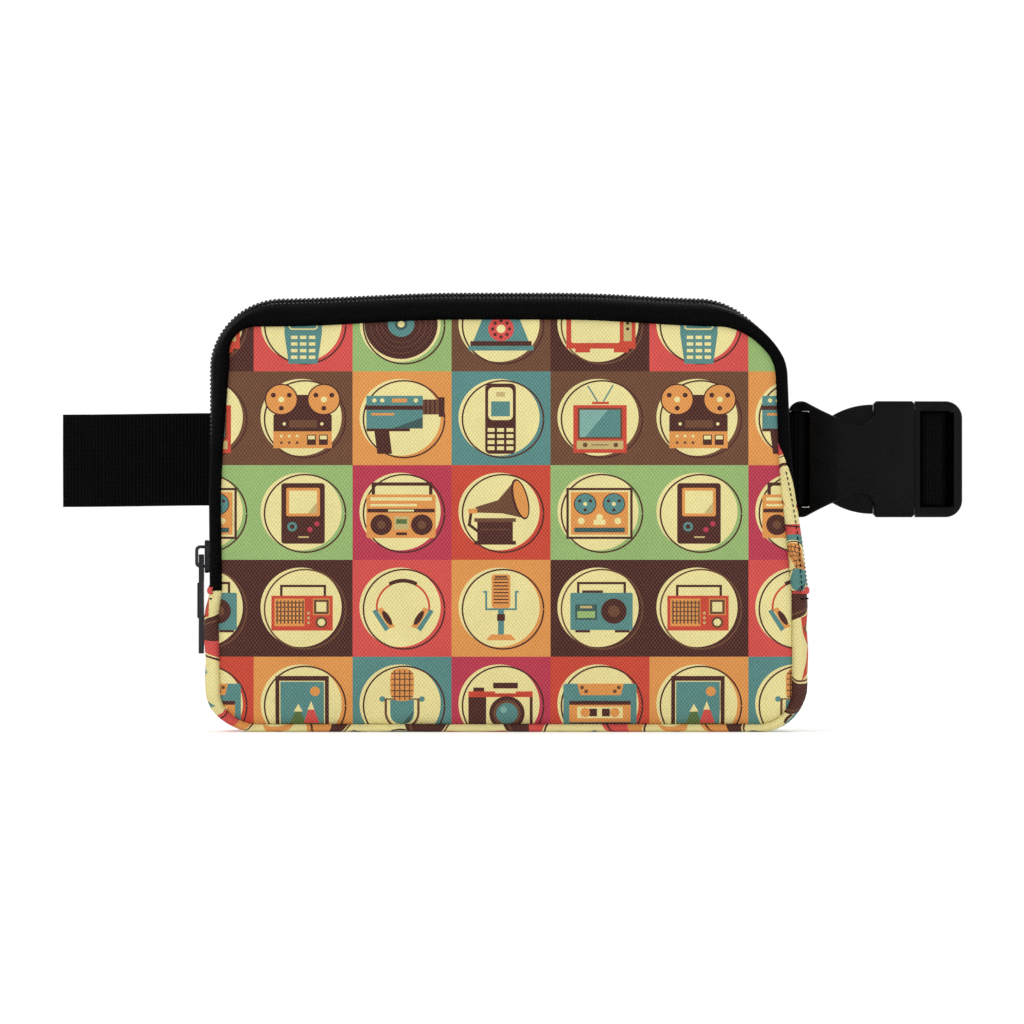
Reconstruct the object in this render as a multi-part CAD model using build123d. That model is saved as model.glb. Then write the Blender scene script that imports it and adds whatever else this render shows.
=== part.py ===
from build123d import *
import os

# Waist pack with a front opening zip, a zipped back pocket and a side-release buckle.
# Millimetres. +Z is up, +X is to the right seen from the front, and the front faces -Y.
# The origin is on the flat bottom, under the middle of the bag.

# ---------------------------------------------------------------- driving sizes
BAG_DEPTH = 52.0
SHELL = 1.6            # printed outer fabric with its foam backing
LINING = 0.6
BINDING_WIDTH = 2.0    # seam binding inside the front and back seams
BINDING_INSET = SHELL
BINDING = 0.8

# Outline at four depths: half width, top, bottom, top corner radius, bottom corner radius
FRONT_Y = -BAG_DEPTH / 2
BACK_Y = BAG_DEPTH / 2
ZIP_Y = -17.0          # middle of the main zip
ZIP_FLAT = 5.0         # half width of the flat band that the zip lies in
OUTLINES = [
    (FRONT_Y, (92.0, 136.0, 1.5, 22.0, 12.0)),
    (ZIP_Y - ZIP_FLAT, (94.5, 140.0, 0.0, 26.0, 14.0)),
    (ZIP_Y + ZIP_FLAT, (94.5, 140.0, 0.0, 26.0, 14.0)),
    (BACK_Y, (86.0, 126.0, 0.0, 12.0, 10.0)),
]

GUSSET_Y = -11.0       # where the printed gusset meets the zip tape
SEAM_Z = 45.0          # seam between the zipped gusset and the bottom gusset
FOLD_Z = 66.0          # line that the front panel folds down about
FOLD_GAP = 0.3

# Zip: two coil rows side by side on two tapes
TAPE = 0.8
COIL_ROW = 2.6
COIL_GAP = 1.0         # room for the slider's dividing post
COIL_PROUD = 0.6       # how far the coils stand out of the tape's face
COIL_DEEP = 1.4        # how far they reach in behind it
STOP_LENGTH = 1.6

# Slider and puller
SLIDER_LENGTH = 10.5
SLIDER_WIDTH = 9.3
SLIDER_PLATE = 1.0
SLIDER_PLAY = 0.3
LIP_WIDTH = 1.25
LIP_HEIGHT = 0.5
POST_WIDTH = 0.6
CROWN_LENGTH = 7.2
CROWN_WIDTH = 2.4
CROWN_HEIGHT = 3.1
CROWN_WALL = 1.0
CROWN_ROUND = 1.6
SLIDER_CORNER = 2.0
SLIDER_RIM = 0.35
POST_START = 2.4       # the dividing post, measured from the slider's middle
POST_END = 4.9
PIN_OUT = 3.0          # the puller's pin stands this far out of the zip's face
PIN_RADIUS = 0.7
PULLER_LENGTH = 31.6
PULLER_TOP_WIDTH = 6.0
PULLER_END_WIDTH = 8.0
PULLER_THICK = 1.6
PULLER_LEG = 0.75
EYE_LENGTH = 7.0
GRIP_LENGTH = 12.5
GRIP_PROUD = 0.5
GRIP_WIDTH = 4.6
END_RIM = 2.5
WINDOW_WIDTH = 6.1
PULLER_CORNER = 0.8

MAIN_SLIDER_Z = 55.8
POCKET_SLIDER_X = 77.05

# Back pocket
POCKET_ZIP_Z = 103.25
POCKET_ZIP_WIDTH = 13.5
POCKET_STOP_X = 83.3
DIVIDER_Y = 17.8       # rear wall of the main compartment

# Webbing
WEB_WIDTH = 30.0
WEB = 1.4
STRAP_Y = 22.9
STRAP_Z = 87.0
ANCHOR_IN_X = 83.2
ANCHOR_OUT_X = 87.2
LEFT_HINGE_X = -88.2
LEFT_END_X = -143.4
RIGHT_HINGE_X = 88.9

# Buckle, measured along X from the bag outwards
BAR_X = 93.2
BAR_RADIUS = 1.75
LOOP_PLAY = 0.35
SLOT_END_X = 97.3
EAR_X = 94.6
EAR_RADIUS = 4.1
CAVITY_X = 102.5
MOUTH_X = 118.0
MOUTH_END_X = 131.0
BUCKLE_HALF_WIDTH = 18.7
SLOT_HALF_WIDTH = 15.5
BUCKLE_HALF_THICK = 6.5
CAVITY_HALF_THICK = 4.3
MOUTH_HALF_WIDTH = 16.0
LATCH_X = 131.3
LATCH_END_X = 146.5
LATCH_CORNER = 5.5
WINDOW_X = 132.9
WINDOW_END_X = 143.8
ADJUSTER_X = 136.9
ADJUSTER_HALF_WIDTH = 2.3
ADJUSTER_HALF_THICK = 1.2
ARM_ROOT_X = 126.0
ARM_GAP = 0.3
ARM_HALF_THICK = 3.8
ARM_INNER = 10.7       # the arm's two sides and its hook, measured from the strap's middle
ARM_OUTER = 15.3
ARM_HOOK = 17.6
ARM_CURVE = [(111.6, 16.9), (104.6, 14.0)]
ARM_TIP_X = 104.2
TONGUE_X = 106.0
TONGUE_HALF_WIDTH = 2.4
TONGUE_HALF_THICK = 3.0
MOUTH_CORNER = 0.8
MOUTH_STEP = 15.4      # half width where the waist meets the mouth
WAIST = [(104.4, 14.2), (109.0, 12.1), (113.5, 11.0), (116.9, 12.8)]
TAIL_BEND_X = 140.0    # the webbing's tail leaves the bar here and ends behind the end bar
TAIL_LEVEL_X = 143.4
TAIL_END_X = 146.2
TAIL_OUT = 4.4
TAIL_SHIFT = 0.6
SOCKET_RIM = 0.6       # rounding of the moulded edges
LATCH_RIM = 0.9
ARM_RIM = 0.4
RIM_CLEAR = 2.5        # rims lie further than this from the middle of the buckle's thickness

FAR = 400.0            # larger than the whole bag, for cutting


# ---------------------------------------------------------------- bag outline
def outline_at(y):
    """Half width, top, bottom and the two corner radii at depth y, in straight lines between the four."""
    for (y0, low), (y1, high) in zip(OUTLINES, OUTLINES[1:]):
        if y <= y1:
            share = (y - y0) / (y1 - y0)
            return [a + (b - a) * share for a, b in zip(low, high)]


def outline_face(y, inset):
    """The bag's outline at depth y, moved inwards by inset."""
    half_width, top, bottom, top_radius, bottom_radius = outline_at(y)
    height = top - bottom - 2 * inset
    face = Pos(0, (top + bottom) / 2) * Rectangle(2 * (half_width - inset), height)
    upper = face.vertices().sort_by(Axis.Y)[2:]
    face = fillet(upper, top_radius - inset)
    lower = face.vertices().sort_by(Axis.Y)[:2]
    face = fillet(lower, bottom_radius - inset)
    return Plane(origin=(0, y, 0), x_dir=(1, 0, 0), z_dir=(0, -1, 0)) * face


def filled(y0, y1, inset=0.0):
    """The bag's volume between two depths."""
    breaks = [y for y, _ in OUTLINES if y0 < y < y1]
    sections = [outline_face(y, inset) for y in [y0, *breaks, y1]]
    return loft(sections, ruled=True)


def ring(y0, y1, outer, inner):
    """A band that follows the outline, from one inset to a larger one."""
    return filled(y0, y1, outer) - filled(y0, y1, inner)


def block(x0, x1, y0, y1, z0, z1):
    """A box between two corners."""
    return Pos((x0 + x1) / 2, (y0 + y1) / 2, (z0 + z1) / 2) * Box(x1 - x0, y1 - y0, z1 - z0)


def between_z(shape, z0, z1):
    """The part of a shape between two heights."""
    return shape & block(-FAR, FAR, -FAR, FAR, z0, z1)


# ---------------------------------------------------------------- front
def front_pieces():
    """Front panel, lining, seam binding, zip tape and coil row, cut where the panel folds."""
    inside = FRONT_Y + SHELL
    row_end = ZIP_Y - COIL_GAP / 2
    row_start = row_end - COIL_ROW
    binding_inner = BINDING_INSET + BINDING
    whole = {
        "front_panel": (filled(FRONT_Y, inside), -FAR),
        "front_lining": (filled(inside, inside + LINING, binding_inner), -FAR),
        "front_binding": (ring(inside, inside + BINDING_WIDTH, BINDING_INSET, binding_inner), -FAR),
        "main_tape_front": (ring(inside, row_start, 0.0, TAPE), SEAM_Z),
        "main_coil_front": (ring(row_start, row_end, -COIL_PROUD, COIL_DEEP), SEAM_Z + STOP_LENGTH),
    }
    pieces = {}
    for name, (shape, low_end) in whole.items():
        pieces[name + "_flap"] = between_z(shape, FOLD_Z + FOLD_GAP, FAR)
        pieces[name + "_base"] = between_z(shape, low_end, FOLD_Z)
    return pieces


# ---------------------------------------------------------------- gusset and back
def strap_slots():
    """Slots in the back seam that the two webbings come out of."""
    half = WEB_WIDTH / 2
    left = block(-FAR, -ANCHOR_IN_X, STRAP_Y - WEB / 2, STRAP_Y + WEB / 2, STRAP_Z - half, STRAP_Z + half)
    right = block(ANCHOR_IN_X, FAR, STRAP_Y - WEB, STRAP_Y + WEB, STRAP_Z - half, STRAP_Z + half)
    return left + right


def gusset_pieces():
    """Zip tape, coil row and printed band round the top and sides, and the band round the bottom."""
    back_inside = BACK_Y - SHELL
    row_start = ZIP_Y + COIL_GAP / 2
    row_end = row_start + COIL_ROW
    lining_inset = SHELL + LINING
    band = between_z(ring(GUSSET_Y, back_inside, 0.0, SHELL), SEAM_Z, FAR)
    bottom = between_z(ring(FRONT_Y + SHELL, back_inside, 0.0, SHELL), -FAR, SEAM_Z)
    low_lining = ring(FRONT_Y + SHELL + BINDING_WIDTH, DIVIDER_Y, SHELL, lining_inset)
    coil = ring(row_start, row_end, -COIL_PROUD, COIL_DEEP)
    both_rows = ring(row_start - COIL_GAP - COIL_ROW, row_end, -COIL_PROUD, COIL_DEEP)
    return {
        "main_tape_back": between_z(ring(row_end, GUSSET_Y, 0.0, TAPE), SEAM_Z, FAR),
        "main_coil_back": between_z(coil, SEAM_Z + STOP_LENGTH, FAR),
        "main_zip_stops": between_z(both_rows, SEAM_Z, SEAM_Z + STOP_LENGTH),
        "gusset_band": band - strap_slots(),
        "gusset_lining": between_z(ring(GUSSET_Y, DIVIDER_Y, SHELL, lining_inset), SEAM_Z, FAR),
        "bottom_gusset": bottom,
        "bottom_lining": between_z(low_lining, -FAR, SEAM_Z),
    }


def back_pieces():
    """Back panel above and below the pocket zip, its binding and the wall behind the pocket."""
    inside = BACK_Y - SHELL
    panel = filled(inside, BACK_Y)
    half = POCKET_ZIP_WIDTH / 2
    binding = ring(inside - BINDING_WIDTH, inside, BINDING_INSET, BINDING_INSET + BINDING)
    return {
        "back_panel_top": between_z(panel, POCKET_ZIP_Z + half, FAR),
        "back_panel_base": between_z(panel, -FAR, POCKET_ZIP_Z - half),
        "back_binding": binding - strap_slots(),
        "pocket_divider": filled(DIVIDER_Y, DIVIDER_Y + LINING, SHELL),
    }


def pocket_zip_pieces():
    """Tapes, coil rows and end stops of the straight zip across the back."""
    half_band = POCKET_ZIP_WIDTH / 2
    row_in = COIL_GAP / 2
    row_out = row_in + COIL_ROW
    tape_end = outline_at(BACK_Y)[0]
    coil_y = (BACK_Y - COIL_DEEP, BACK_Y + COIL_PROUD)
    pieces = {}
    for name, side in (("upper", 1), ("lower", -1)):
        tape_z = sorted([POCKET_ZIP_Z + side * row_out, POCKET_ZIP_Z + side * half_band])
        coil_z = sorted([POCKET_ZIP_Z + side * row_in, POCKET_ZIP_Z + side * row_out])
        pieces["pocket_tape_" + name] = block(-tape_end, tape_end, BACK_Y - TAPE, BACK_Y, *tape_z)
        pieces["pocket_coil_" + name] = block(-POCKET_STOP_X, POCKET_STOP_X, *coil_y, *coil_z)
    stop_z = (POCKET_ZIP_Z - row_out, POCKET_ZIP_Z + row_out)
    stop = block(POCKET_STOP_X, POCKET_STOP_X + STOP_LENGTH, *coil_y, *stop_z)
    pieces["pocket_zip_stops"] = stop + mirror(stop, about=Plane.YZ)
    return pieces


# ---------------------------------------------------------------- slider and puller
def slider(crown_across):
    """A zip slider: local X points to its leading end, Y across the zip and Z out of it."""
    length, half_width = SLIDER_LENGTH, SLIDER_WIDTH / 2
    top = COIL_PROUD + SLIDER_PLAY
    bottom = -COIL_DEEP - SLIDER_PLAY
    outline = Rectangle(length, SLIDER_WIDTH)
    outline = fillet(outline.vertices(), SLIDER_CORNER)
    cap = Pos(0, 0, top) * extrude(outline, SLIDER_PLATE)
    body = fillet(cap.edges().group_by(Axis.Z)[-1], SLIDER_RIM)
    body += Pos(0, 0, bottom - SLIDER_PLATE) * extrude(outline, SLIDER_PLATE)
    for side in (1, -1):
        edge = sorted([side * half_width, side * (half_width - LIP_WIDTH)])
        lip = block(-length / 2, length / 2, *edge, top - LIP_HEIGHT, top)
        lip += block(-length / 2, length / 2, *edge, bottom, bottom + LIP_HEIGHT)
        body += lip & extrude(outline, 20, both=True)
    body += block(POST_START, POST_END, -POST_WIDTH / 2, POST_WIDTH / 2, bottom, top)
    crown_base = top + SLIDER_PLATE
    arch = RectangleRounded(CROWN_LENGTH, 2 * CROWN_HEIGHT, CROWN_ROUND)
    opening_size = (CROWN_LENGTH - 2 * CROWN_WALL, 2 * (CROWN_HEIGHT - CROWN_WALL))
    arch -= RectangleRounded(*opening_size, CROWN_ROUND / 2)
    crown = Plane.XZ * extrude(arch, CROWN_WIDTH / 2, both=True)
    crown &= block(-FAR, FAR, -FAR, FAR, 0, FAR)
    if crown_across:
        crown = Rot(0, 0, 90) * crown
    return body + Pos(0, 0, crown_base) * crown


def puller():
    """A zip puller that hangs along -Y from its pin at the origin, with its face along Z."""
    top_half = PULLER_TOP_WIDTH / 2
    end_half = PULLER_END_WIDTH / 2
    top = PIN_RADIUS
    end = top - PULLER_LENGTH
    sides = Polyline((-top_half, top), (top_half, top), (end_half, end), (-end_half, end), close=True)
    plate = fillet(make_face(sides).vertices(), PULLER_CORNER)
    eye_half = top_half - PULLER_LEG
    eye_end = -PIN_RADIUS - EYE_LENGTH
    plate -= Pos(0, (-PIN_RADIUS + eye_end) / 2) * Rectangle(2 * eye_half, EYE_LENGTH)
    grip_end = eye_end - GRIP_LENGTH
    low_top = grip_end
    low_end = end + END_RIM
    plate -= Pos(0, (low_top + low_end) / 2) * RectangleRounded(WINDOW_WIDTH, low_top - low_end, 0.4)
    body = extrude(plate, PULLER_THICK / 2, both=True)
    pin = extrude(Circle(PIN_RADIUS), eye_half + PULLER_LEG / 2, both=True)
    body -= block(-eye_half, eye_half, -PIN_RADIUS, top + 1, -2, 2)
    body += Rot(0, 90, 0) * pin
    grip = Pos(0, (eye_end + grip_end) / 2) * Rectangle(GRIP_WIDTH, GRIP_LENGTH - 1.0)
    body += Pos(0, 0, PULLER_THICK / 2) * extrude(grip, GRIP_PROUD, taper=30)
    return body


def zip_pulls():
    """Both sliders and both pullers where they rest, with both zips closed."""
    side_face = -outline_at(ZIP_Y)[0]
    on_side = Plane(origin=(side_face, ZIP_Y, MAIN_SLIDER_Z), x_dir=(0, 0, -1), z_dir=(-1, 0, 0))
    on_back = Plane(origin=(POCKET_SLIDER_X, BACK_Y, POCKET_ZIP_Z), x_dir=(1, 0, 0), z_dir=(0, 1, 0))
    side_pin_at = (side_face - PIN_OUT, ZIP_Y, MAIN_SLIDER_Z)
    back_pin_at = (POCKET_SLIDER_X, BACK_Y + PIN_OUT, POCKET_ZIP_Z)
    side_pin = Plane(origin=side_pin_at, x_dir=(0, -1, 0), z_dir=(-1, 0, 0))
    back_pin = Plane(origin=back_pin_at, x_dir=(-1, 0, 0), z_dir=(0, 1, 0))
    return {
        "main_slider": on_side * slider(crown_across=False),
        "main_puller": side_pin * puller(),
        "pocket_slider": on_back * slider(crown_across=True),
        "pocket_puller": back_pin * puller(),
    }


# ---------------------------------------------------------------- webbing
def upright(profile, half_height):
    """A profile drawn in X and Y, made into a solid of equal height above and below the strap's middle."""
    return Pos(0, 0, STRAP_Z) * extrude(profile, half_height, both=True)


def web_profile(x0, x1, thick):
    """A straight run of webbing seen from above, rounded at x0 where it bends."""
    length = abs(x1 - x0)
    run = Pos((x0 + x1) / 2, STRAP_Y) * Rectangle(length, thick)
    return run + Pos(x0, STRAP_Y) * Circle(thick / 2)


def webbing_pieces():
    """The stub on the left, the doubled loop on the right and their sewn-in ends."""
    half = WEB_WIDTH / 2
    low, high = STRAP_Z - half, STRAP_Z + half
    loop_inner = BAR_RADIUS + LOOP_PLAY
    loop = web_profile(RIGHT_HINGE_X, BAR_X, 2 * WEB)
    loop += Pos(BAR_X, STRAP_Y) * Circle(loop_inner + WEB)
    loop -= Pos(BAR_X, STRAP_Y) * Circle(loop_inner)
    anchor = (STRAP_Y - WEB / 2, STRAP_Y + WEB / 2, low, high)
    double_anchor = (STRAP_Y - WEB, STRAP_Y + WEB, low, high)
    return {
        "left_strap_anchor": block(-ANCHOR_OUT_X, -ANCHOR_IN_X, *anchor),
        "left_strap": upright(web_profile(LEFT_HINGE_X, LEFT_END_X, WEB), half),
        "right_strap_anchor": block(ANCHOR_IN_X, ANCHOR_OUT_X, *double_anchor),
        "right_strap_loop": upright(loop, half),
    }


# ---------------------------------------------------------------- buckle
def plan(edges):
    """A face from half an outline drawn in X and Z above the strap's middle, mirrored below it."""
    upper = make_face([*edges, Line(edges[-1] @ 1, edges[0] @ 0)])
    return upper + mirror(upper, about=Plane.XZ)


def plan_solid(face, half_thick):
    """A face drawn in X and Z made into a solid of equal thickness to the front and back of the strap."""
    middle = Plane(origin=(0, STRAP_Y, STRAP_Z), x_dir=(1, 0, 0), z_dir=(0, -1, 0))
    return middle * extrude(face, half_thick, both=True)


def profile_solid(points):
    """A shape of changing thickness: points are X and half thickness, mirrored front to back."""
    upper = [(x, STRAP_Y + half) for x, half in points]
    lower = [(x, STRAP_Y - half) for x, half in reversed(points)]
    face = make_face(Polyline(*upper, *lower, close=True))
    return upright(face, BUCKLE_HALF_WIDTH + 1)


def buckle_block(x0, x1, half_thick, half_width):
    """A box centred on the strap."""
    y_ends = (STRAP_Y - half_thick, STRAP_Y + half_thick)
    z_ends = (STRAP_Z - half_width, STRAP_Z + half_width)
    return block(x0, x1, *y_ends, *z_ends)


def rounded(body, radius):
    """The same shape with a rounded rim along the outline of its front and back faces."""
    rim = []
    for edge in body.edges():
        bounds = edge.bounding_box()
        away = abs(bounds.center().Y - STRAP_Y) > RIM_CLEAR
        thin = bounds.size.Y < RIM_CLEAR
        crossing = bounds.size.X < 0.01 and bounds.size.Z > BUCKLE_HALF_WIDTH
        if away and thin and not crossing:
            rim.append(edge)
    return fillet(rim, radius)


def socket():
    """The buckle's female half: two waisted faces, a closed mouth, and a bar between two rounded ears."""
    side = BUCKLE_HALF_WIDTH
    ear_start = (EAR_X - EAR_RADIUS, side - EAR_RADIUS)
    ear_top = (EAR_X, side)
    waist_start = (EAR_X + EAR_RADIUS / 2, side - EAR_RADIUS * (1 - 3**0.5 / 2))
    corner = MOUTH_CORNER
    edges = [
        Line((ear_start[0], 0), ear_start),
        TangentArc(ear_start, ear_top, tangent=(0, 1)),
        TangentArc(ear_top, waist_start, tangent=(1, 0)),
        Spline(waist_start, *WAIST, (MOUTH_X, MOUTH_STEP), tangents=[(3**0.5, -1), (0, 1)]),
        Line((MOUTH_X, MOUTH_STEP), (MOUTH_X, side - corner)),
        Line((MOUTH_X, side - corner), (MOUTH_X + corner, side)),
        Line((MOUTH_X + corner, side), (MOUTH_END_X - corner, side)),
        Line((MOUTH_END_X - corner, side), (MOUTH_END_X, side - corner)),
        Line((MOUTH_END_X, side - corner), (MOUTH_END_X, 0)),
    ]
    thickness = [(EAR_X - EAR_RADIUS, 3.6), (SLOT_END_X, 4.6), (106.0, 6.0), (MOUTH_X, BUCKLE_HALF_THICK)]
    thickness += [(MOUTH_END_X, BUCKLE_HALF_THICK)]
    body = plan_solid(plan(edges), BUCKLE_HALF_THICK + 1) & profile_solid(thickness)
    body = rounded(body, SOCKET_RIM)
    body -= buckle_block(CAVITY_X, MOUTH_X, CAVITY_HALF_THICK, side + 1)
    body -= buckle_block(MOUTH_X - 1, MOUTH_END_X + 1, CAVITY_HALF_THICK, MOUTH_HALF_WIDTH)
    body -= buckle_block(ear_start[0] - 1, SLOT_END_X, BUCKLE_HALF_THICK, SLOT_HALF_WIDTH)
    bar = Pos(BAR_X, STRAP_Y) * Circle(BAR_RADIUS)
    return body + upright(bar, SLOT_HALF_WIDTH + 0.5)


def latch():
    """The buckle's male half: a frame with the adjuster bar, the plug in the mouth and its guide tongue."""
    side = BUCKLE_HALF_WIDTH
    corner_x = LATCH_END_X - LATCH_CORNER
    corner_z = side - LATCH_CORNER
    bend = LATCH_CORNER * 0.5**0.5
    edges = [
        Line((LATCH_X, 0), (LATCH_X, side)),
        Line((LATCH_X, side), (corner_x, side)),
        ThreePointArc((corner_x, side), (corner_x + bend, corner_z + bend), (LATCH_END_X, corner_z)),
        Line((LATCH_END_X, corner_z), (LATCH_END_X, 0)),
    ]
    frame = plan_solid(plan(edges), BUCKLE_HALF_THICK)
    frame &= profile_solid([(LATCH_X, 5.0), (WINDOW_END_X, 4.2), (LATCH_END_X, 3.4)])
    frame = rounded(frame, LATCH_RIM)
    frame -= buckle_block(WINDOW_X, WINDOW_END_X, BUCKLE_HALF_THICK, SLOT_HALF_WIDTH)
    bar_ends = (ADJUSTER_X - ADJUSTER_HALF_WIDTH, ADJUSTER_X + ADJUSTER_HALF_WIDTH)
    frame += buckle_block(*bar_ends, ADJUSTER_HALF_THICK, SLOT_HALF_WIDTH + 1)
    plug = buckle_block(ARM_ROOT_X, LATCH_X + 0.5, CAVITY_HALF_THICK - 0.4, MOUTH_HALF_WIDTH - 0.4)
    tongue = buckle_block(TONGUE_X, ARM_ROOT_X + 0.5, TONGUE_HALF_THICK, TONGUE_HALF_WIDTH)
    return frame + plug + tongue


def latch_arm():
    """The upper of the two sprung arms: a prong whose hook catches behind the socket's mouth."""
    root_x = ARM_ROOT_X - ARM_GAP
    hook_x = MOUTH_X - ARM_GAP
    curve_middle, curve_end = ARM_CURVE
    tip_side = (ARM_TIP_X, ARM_INNER + 0.6)
    tip_end = (ARM_TIP_X + 1.2, ARM_INNER)
    edges = [
        Line((root_x, ARM_INNER), (root_x, ARM_OUTER)),
        Line((root_x, ARM_OUTER), (hook_x, ARM_OUTER)),
        Line((hook_x, ARM_OUTER), (hook_x, ARM_HOOK)),
        ThreePointArc((hook_x, ARM_HOOK), curve_middle, curve_end),
        Line(curve_end, tip_side),
        Line(tip_side, tip_end),
        Line(tip_end, (root_x, ARM_INNER)),
    ]
    return rounded(plan_solid(make_face(edges), ARM_HALF_THICK), ARM_RIM)


def adjuster_webbing():
    """The short end of webbing wrapped round the adjuster bar, with its tail behind the end bar."""
    bar = Pos(ADJUSTER_X, STRAP_Y) * Rectangle(2 * ADJUSTER_HALF_WIDTH, 2 * ADJUSTER_HALF_THICK)
    wrap_width = 2 * (ADJUSTER_HALF_WIDTH + WEB)
    wrap_thick = 2 * (ADJUSTER_HALF_THICK + WEB)
    wrap = Pos(ADJUSTER_X, STRAP_Y) * RectangleRounded(wrap_width, wrap_thick, 1.3)
    tail_points = [
        (ADJUSTER_X, ADJUSTER_HALF_THICK),
        (TAIL_BEND_X + TAIL_SHIFT, ADJUSTER_HALF_THICK),
        (TAIL_LEVEL_X + TAIL_SHIFT, TAIL_OUT),
        (TAIL_END_X, TAIL_OUT),
        (TAIL_END_X, TAIL_OUT + WEB),
        (TAIL_LEVEL_X, TAIL_OUT + WEB),
        (TAIL_BEND_X, ADJUSTER_HALF_THICK + WEB),
        (ADJUSTER_X, ADJUSTER_HALF_THICK + WEB),
    ]
    tail = make_face(Polyline(*[(x, STRAP_Y + y) for x, y in tail_points], close=True))
    return upright(wrap + tail - bar, WEB_WIDTH / 2)


def buckle_pieces():
    """Socket, latch, the two arms and the webbing on the adjuster."""
    upper_arm = latch_arm()
    middle = Plane(origin=(0, 0, STRAP_Z), x_dir=(1, 0, 0), z_dir=(0, 0, 1))
    return {
        "buckle_socket": socket(),
        "buckle_latch": latch(),
        "latch_arm_upper": upper_arm,
        "latch_arm_lower": mirror(upper_arm, about=middle),
        "adjuster_webbing": adjuster_webbing(),
    }


# ---------------------------------------------------------------- files
def main():
    """Write every piece to its own file."""
    os.makedirs("parts", exist_ok=True)
    makers = [
        front_pieces,
        gusset_pieces,
        back_pieces,
        pocket_zip_pieces,
        zip_pulls,
        webbing_pieces,
        buckle_pieces,
    ]
    for make in makers:
        for name, shape in make().items():
            export_step(shape, f"parts/{name}.step")


main()
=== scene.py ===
"""Looks of the waist pack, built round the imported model. Lengths are millimetres until a mesh is made."""

import math

import bmesh
import bpy
import numpy as np
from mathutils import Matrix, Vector
from mathutils.geometry import delaunay_2d_cdt


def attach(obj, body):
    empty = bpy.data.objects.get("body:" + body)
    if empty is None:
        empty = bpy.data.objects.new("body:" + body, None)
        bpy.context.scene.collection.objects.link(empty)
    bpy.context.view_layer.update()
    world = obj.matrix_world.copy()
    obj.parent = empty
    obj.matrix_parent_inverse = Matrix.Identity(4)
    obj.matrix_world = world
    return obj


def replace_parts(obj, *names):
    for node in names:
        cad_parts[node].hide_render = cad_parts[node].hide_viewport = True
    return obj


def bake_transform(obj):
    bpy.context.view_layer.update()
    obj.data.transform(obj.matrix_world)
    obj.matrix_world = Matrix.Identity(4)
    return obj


MM = 0.001

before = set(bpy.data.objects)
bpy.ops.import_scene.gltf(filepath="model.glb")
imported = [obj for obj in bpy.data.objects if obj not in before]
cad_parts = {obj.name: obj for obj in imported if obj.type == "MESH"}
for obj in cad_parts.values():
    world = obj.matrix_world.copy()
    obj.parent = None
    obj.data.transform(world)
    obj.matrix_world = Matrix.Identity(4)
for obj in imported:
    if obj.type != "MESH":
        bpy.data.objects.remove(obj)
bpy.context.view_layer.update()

# ---------------------------------------------------------------- sizes shared with the CAD
FRONT_Y = -26.0
BACK_Y = 26.0
SEAM_Z = 45.0
DIVIDER_Y = 17.8
POCKET_ZIP_Z = 103.25
POCKET_COIL_X = 83.3
COIL_PITCH = 1.35
COIL_TURNS = 12
WEB_WIDTH = 30.0
WEB = 1.4
STRAP_Y = 22.9
STRAP_Z = 87.0
BAR_X = 93.2
ADJUSTER_X = 136.9

# Thickness of each cloth
PRINTED = 0.9
TAPE = 0.5
HEM = 0.4
WALL = 0.35
LINING = 0.3
# How far the zip's tape goes down under its coils, the looks stay above the floor and printed points merge
TAPE_DIP = 1.35
FLOOR_GAP = 0.02
PRINT_WELD = 0.02

# Skin from the front seam round to the back seam. Each row is a line round the bag:
# depth, half width, top, bottom, top right, bottom and top left corner radius
PROFILE = np.array(
    [
        (-23.4, 89.4, 130.8, 2.9, 17.0, 10.0, 8.0),
        (-25.0, 91.0, 132.8, 1.3, 18.5, 11.0, 9.5),
        (-24.9, 92.6, 135.1, 0.5, 20.5, 12.0, 13.0),
        (-22.9, 94.0, 137.3, 0.1, 23.5, 13.0, 18.5),
        (-20.1, 94.2, 138.8, 0.0, 26.0, 14.0, 22.0),
        (-17.0, 94.3, 139.7, 0.0, 26.0, 14.0, 22.5),
        (-13.9, 94.2, 138.7, 0.0, 26.0, 14.0, 22.5),
        (-11.0, 94.0, 136.0, 0.0, 25.5, 14.0, 22.0),
        (-5.0, 93.2, 133.6, 0.0, 24.5, 14.0, 21.0),
        (5.0, 91.6, 131.0, 0.0, 21.5, 13.0, 19.5),
        (15.0, 89.5, 128.6, 0.0, 17.5, 12.0, 17.0),
        (21.0, 87.9, 126.9, 0.1, 14.5, 11.0, 14.5),
        (24.6, 86.6, 125.2, 0.9, 12.0, 10.0, 12.0),
        (24.3, 84.8, 123.6, 2.4, 9.5, 8.5, 9.5),
    ]
)
# Places along the depth: a row of the table each, so the front seam is 0 and the zip's middle is 5
V_GUSSET = 7.0
V_BACK = 13.0
# Places along a line round the bag, anticlockwise from the middle of the bottom
U_RIGHT_SEAM = 3.0
U_LEFT_SEAM = 8.0
U_END = 11.0
ROUND_TOP = (U_RIGHT_SEAM, U_LEFT_SEAM)
OUTLINE_STEP = 2.6

# The right side leans in towards the top: height and shift, and how much of it each depth takes
LEAN_Z = [0, 12, 45, 60, 75, 91, 104, 120, 131, 141]
LEAN_X = [0.2, 1.2, 1.2, -0.6, -3.0, -4.8, -5.6, -6.4, -8.4, -8.4]
LEAN_Y = [-26, -20, -11, 0, 26]
LEAN_SHARE = [0.55, 1.0, 1.0, 0.85, 0.0]
# The front panel's left edge, which leans the other way: height and shift
EDGE_Z = [0, 45, 75, 88, 102, 118, 141]
EDGE_X = [0.0, -1.2, -1.6, -1.0, 0.2, 1.4, 1.6]
LEFT_BULGE = -1.9
TOP_DROOP = -2.3


# ---------------------------------------------------------------- lines and surfaces
def lengths(points):
    """How far along a line each of its points is."""
    return np.concatenate([[0], np.cumsum(np.linalg.norm(np.diff(points, axis=0), axis=1))])


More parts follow.
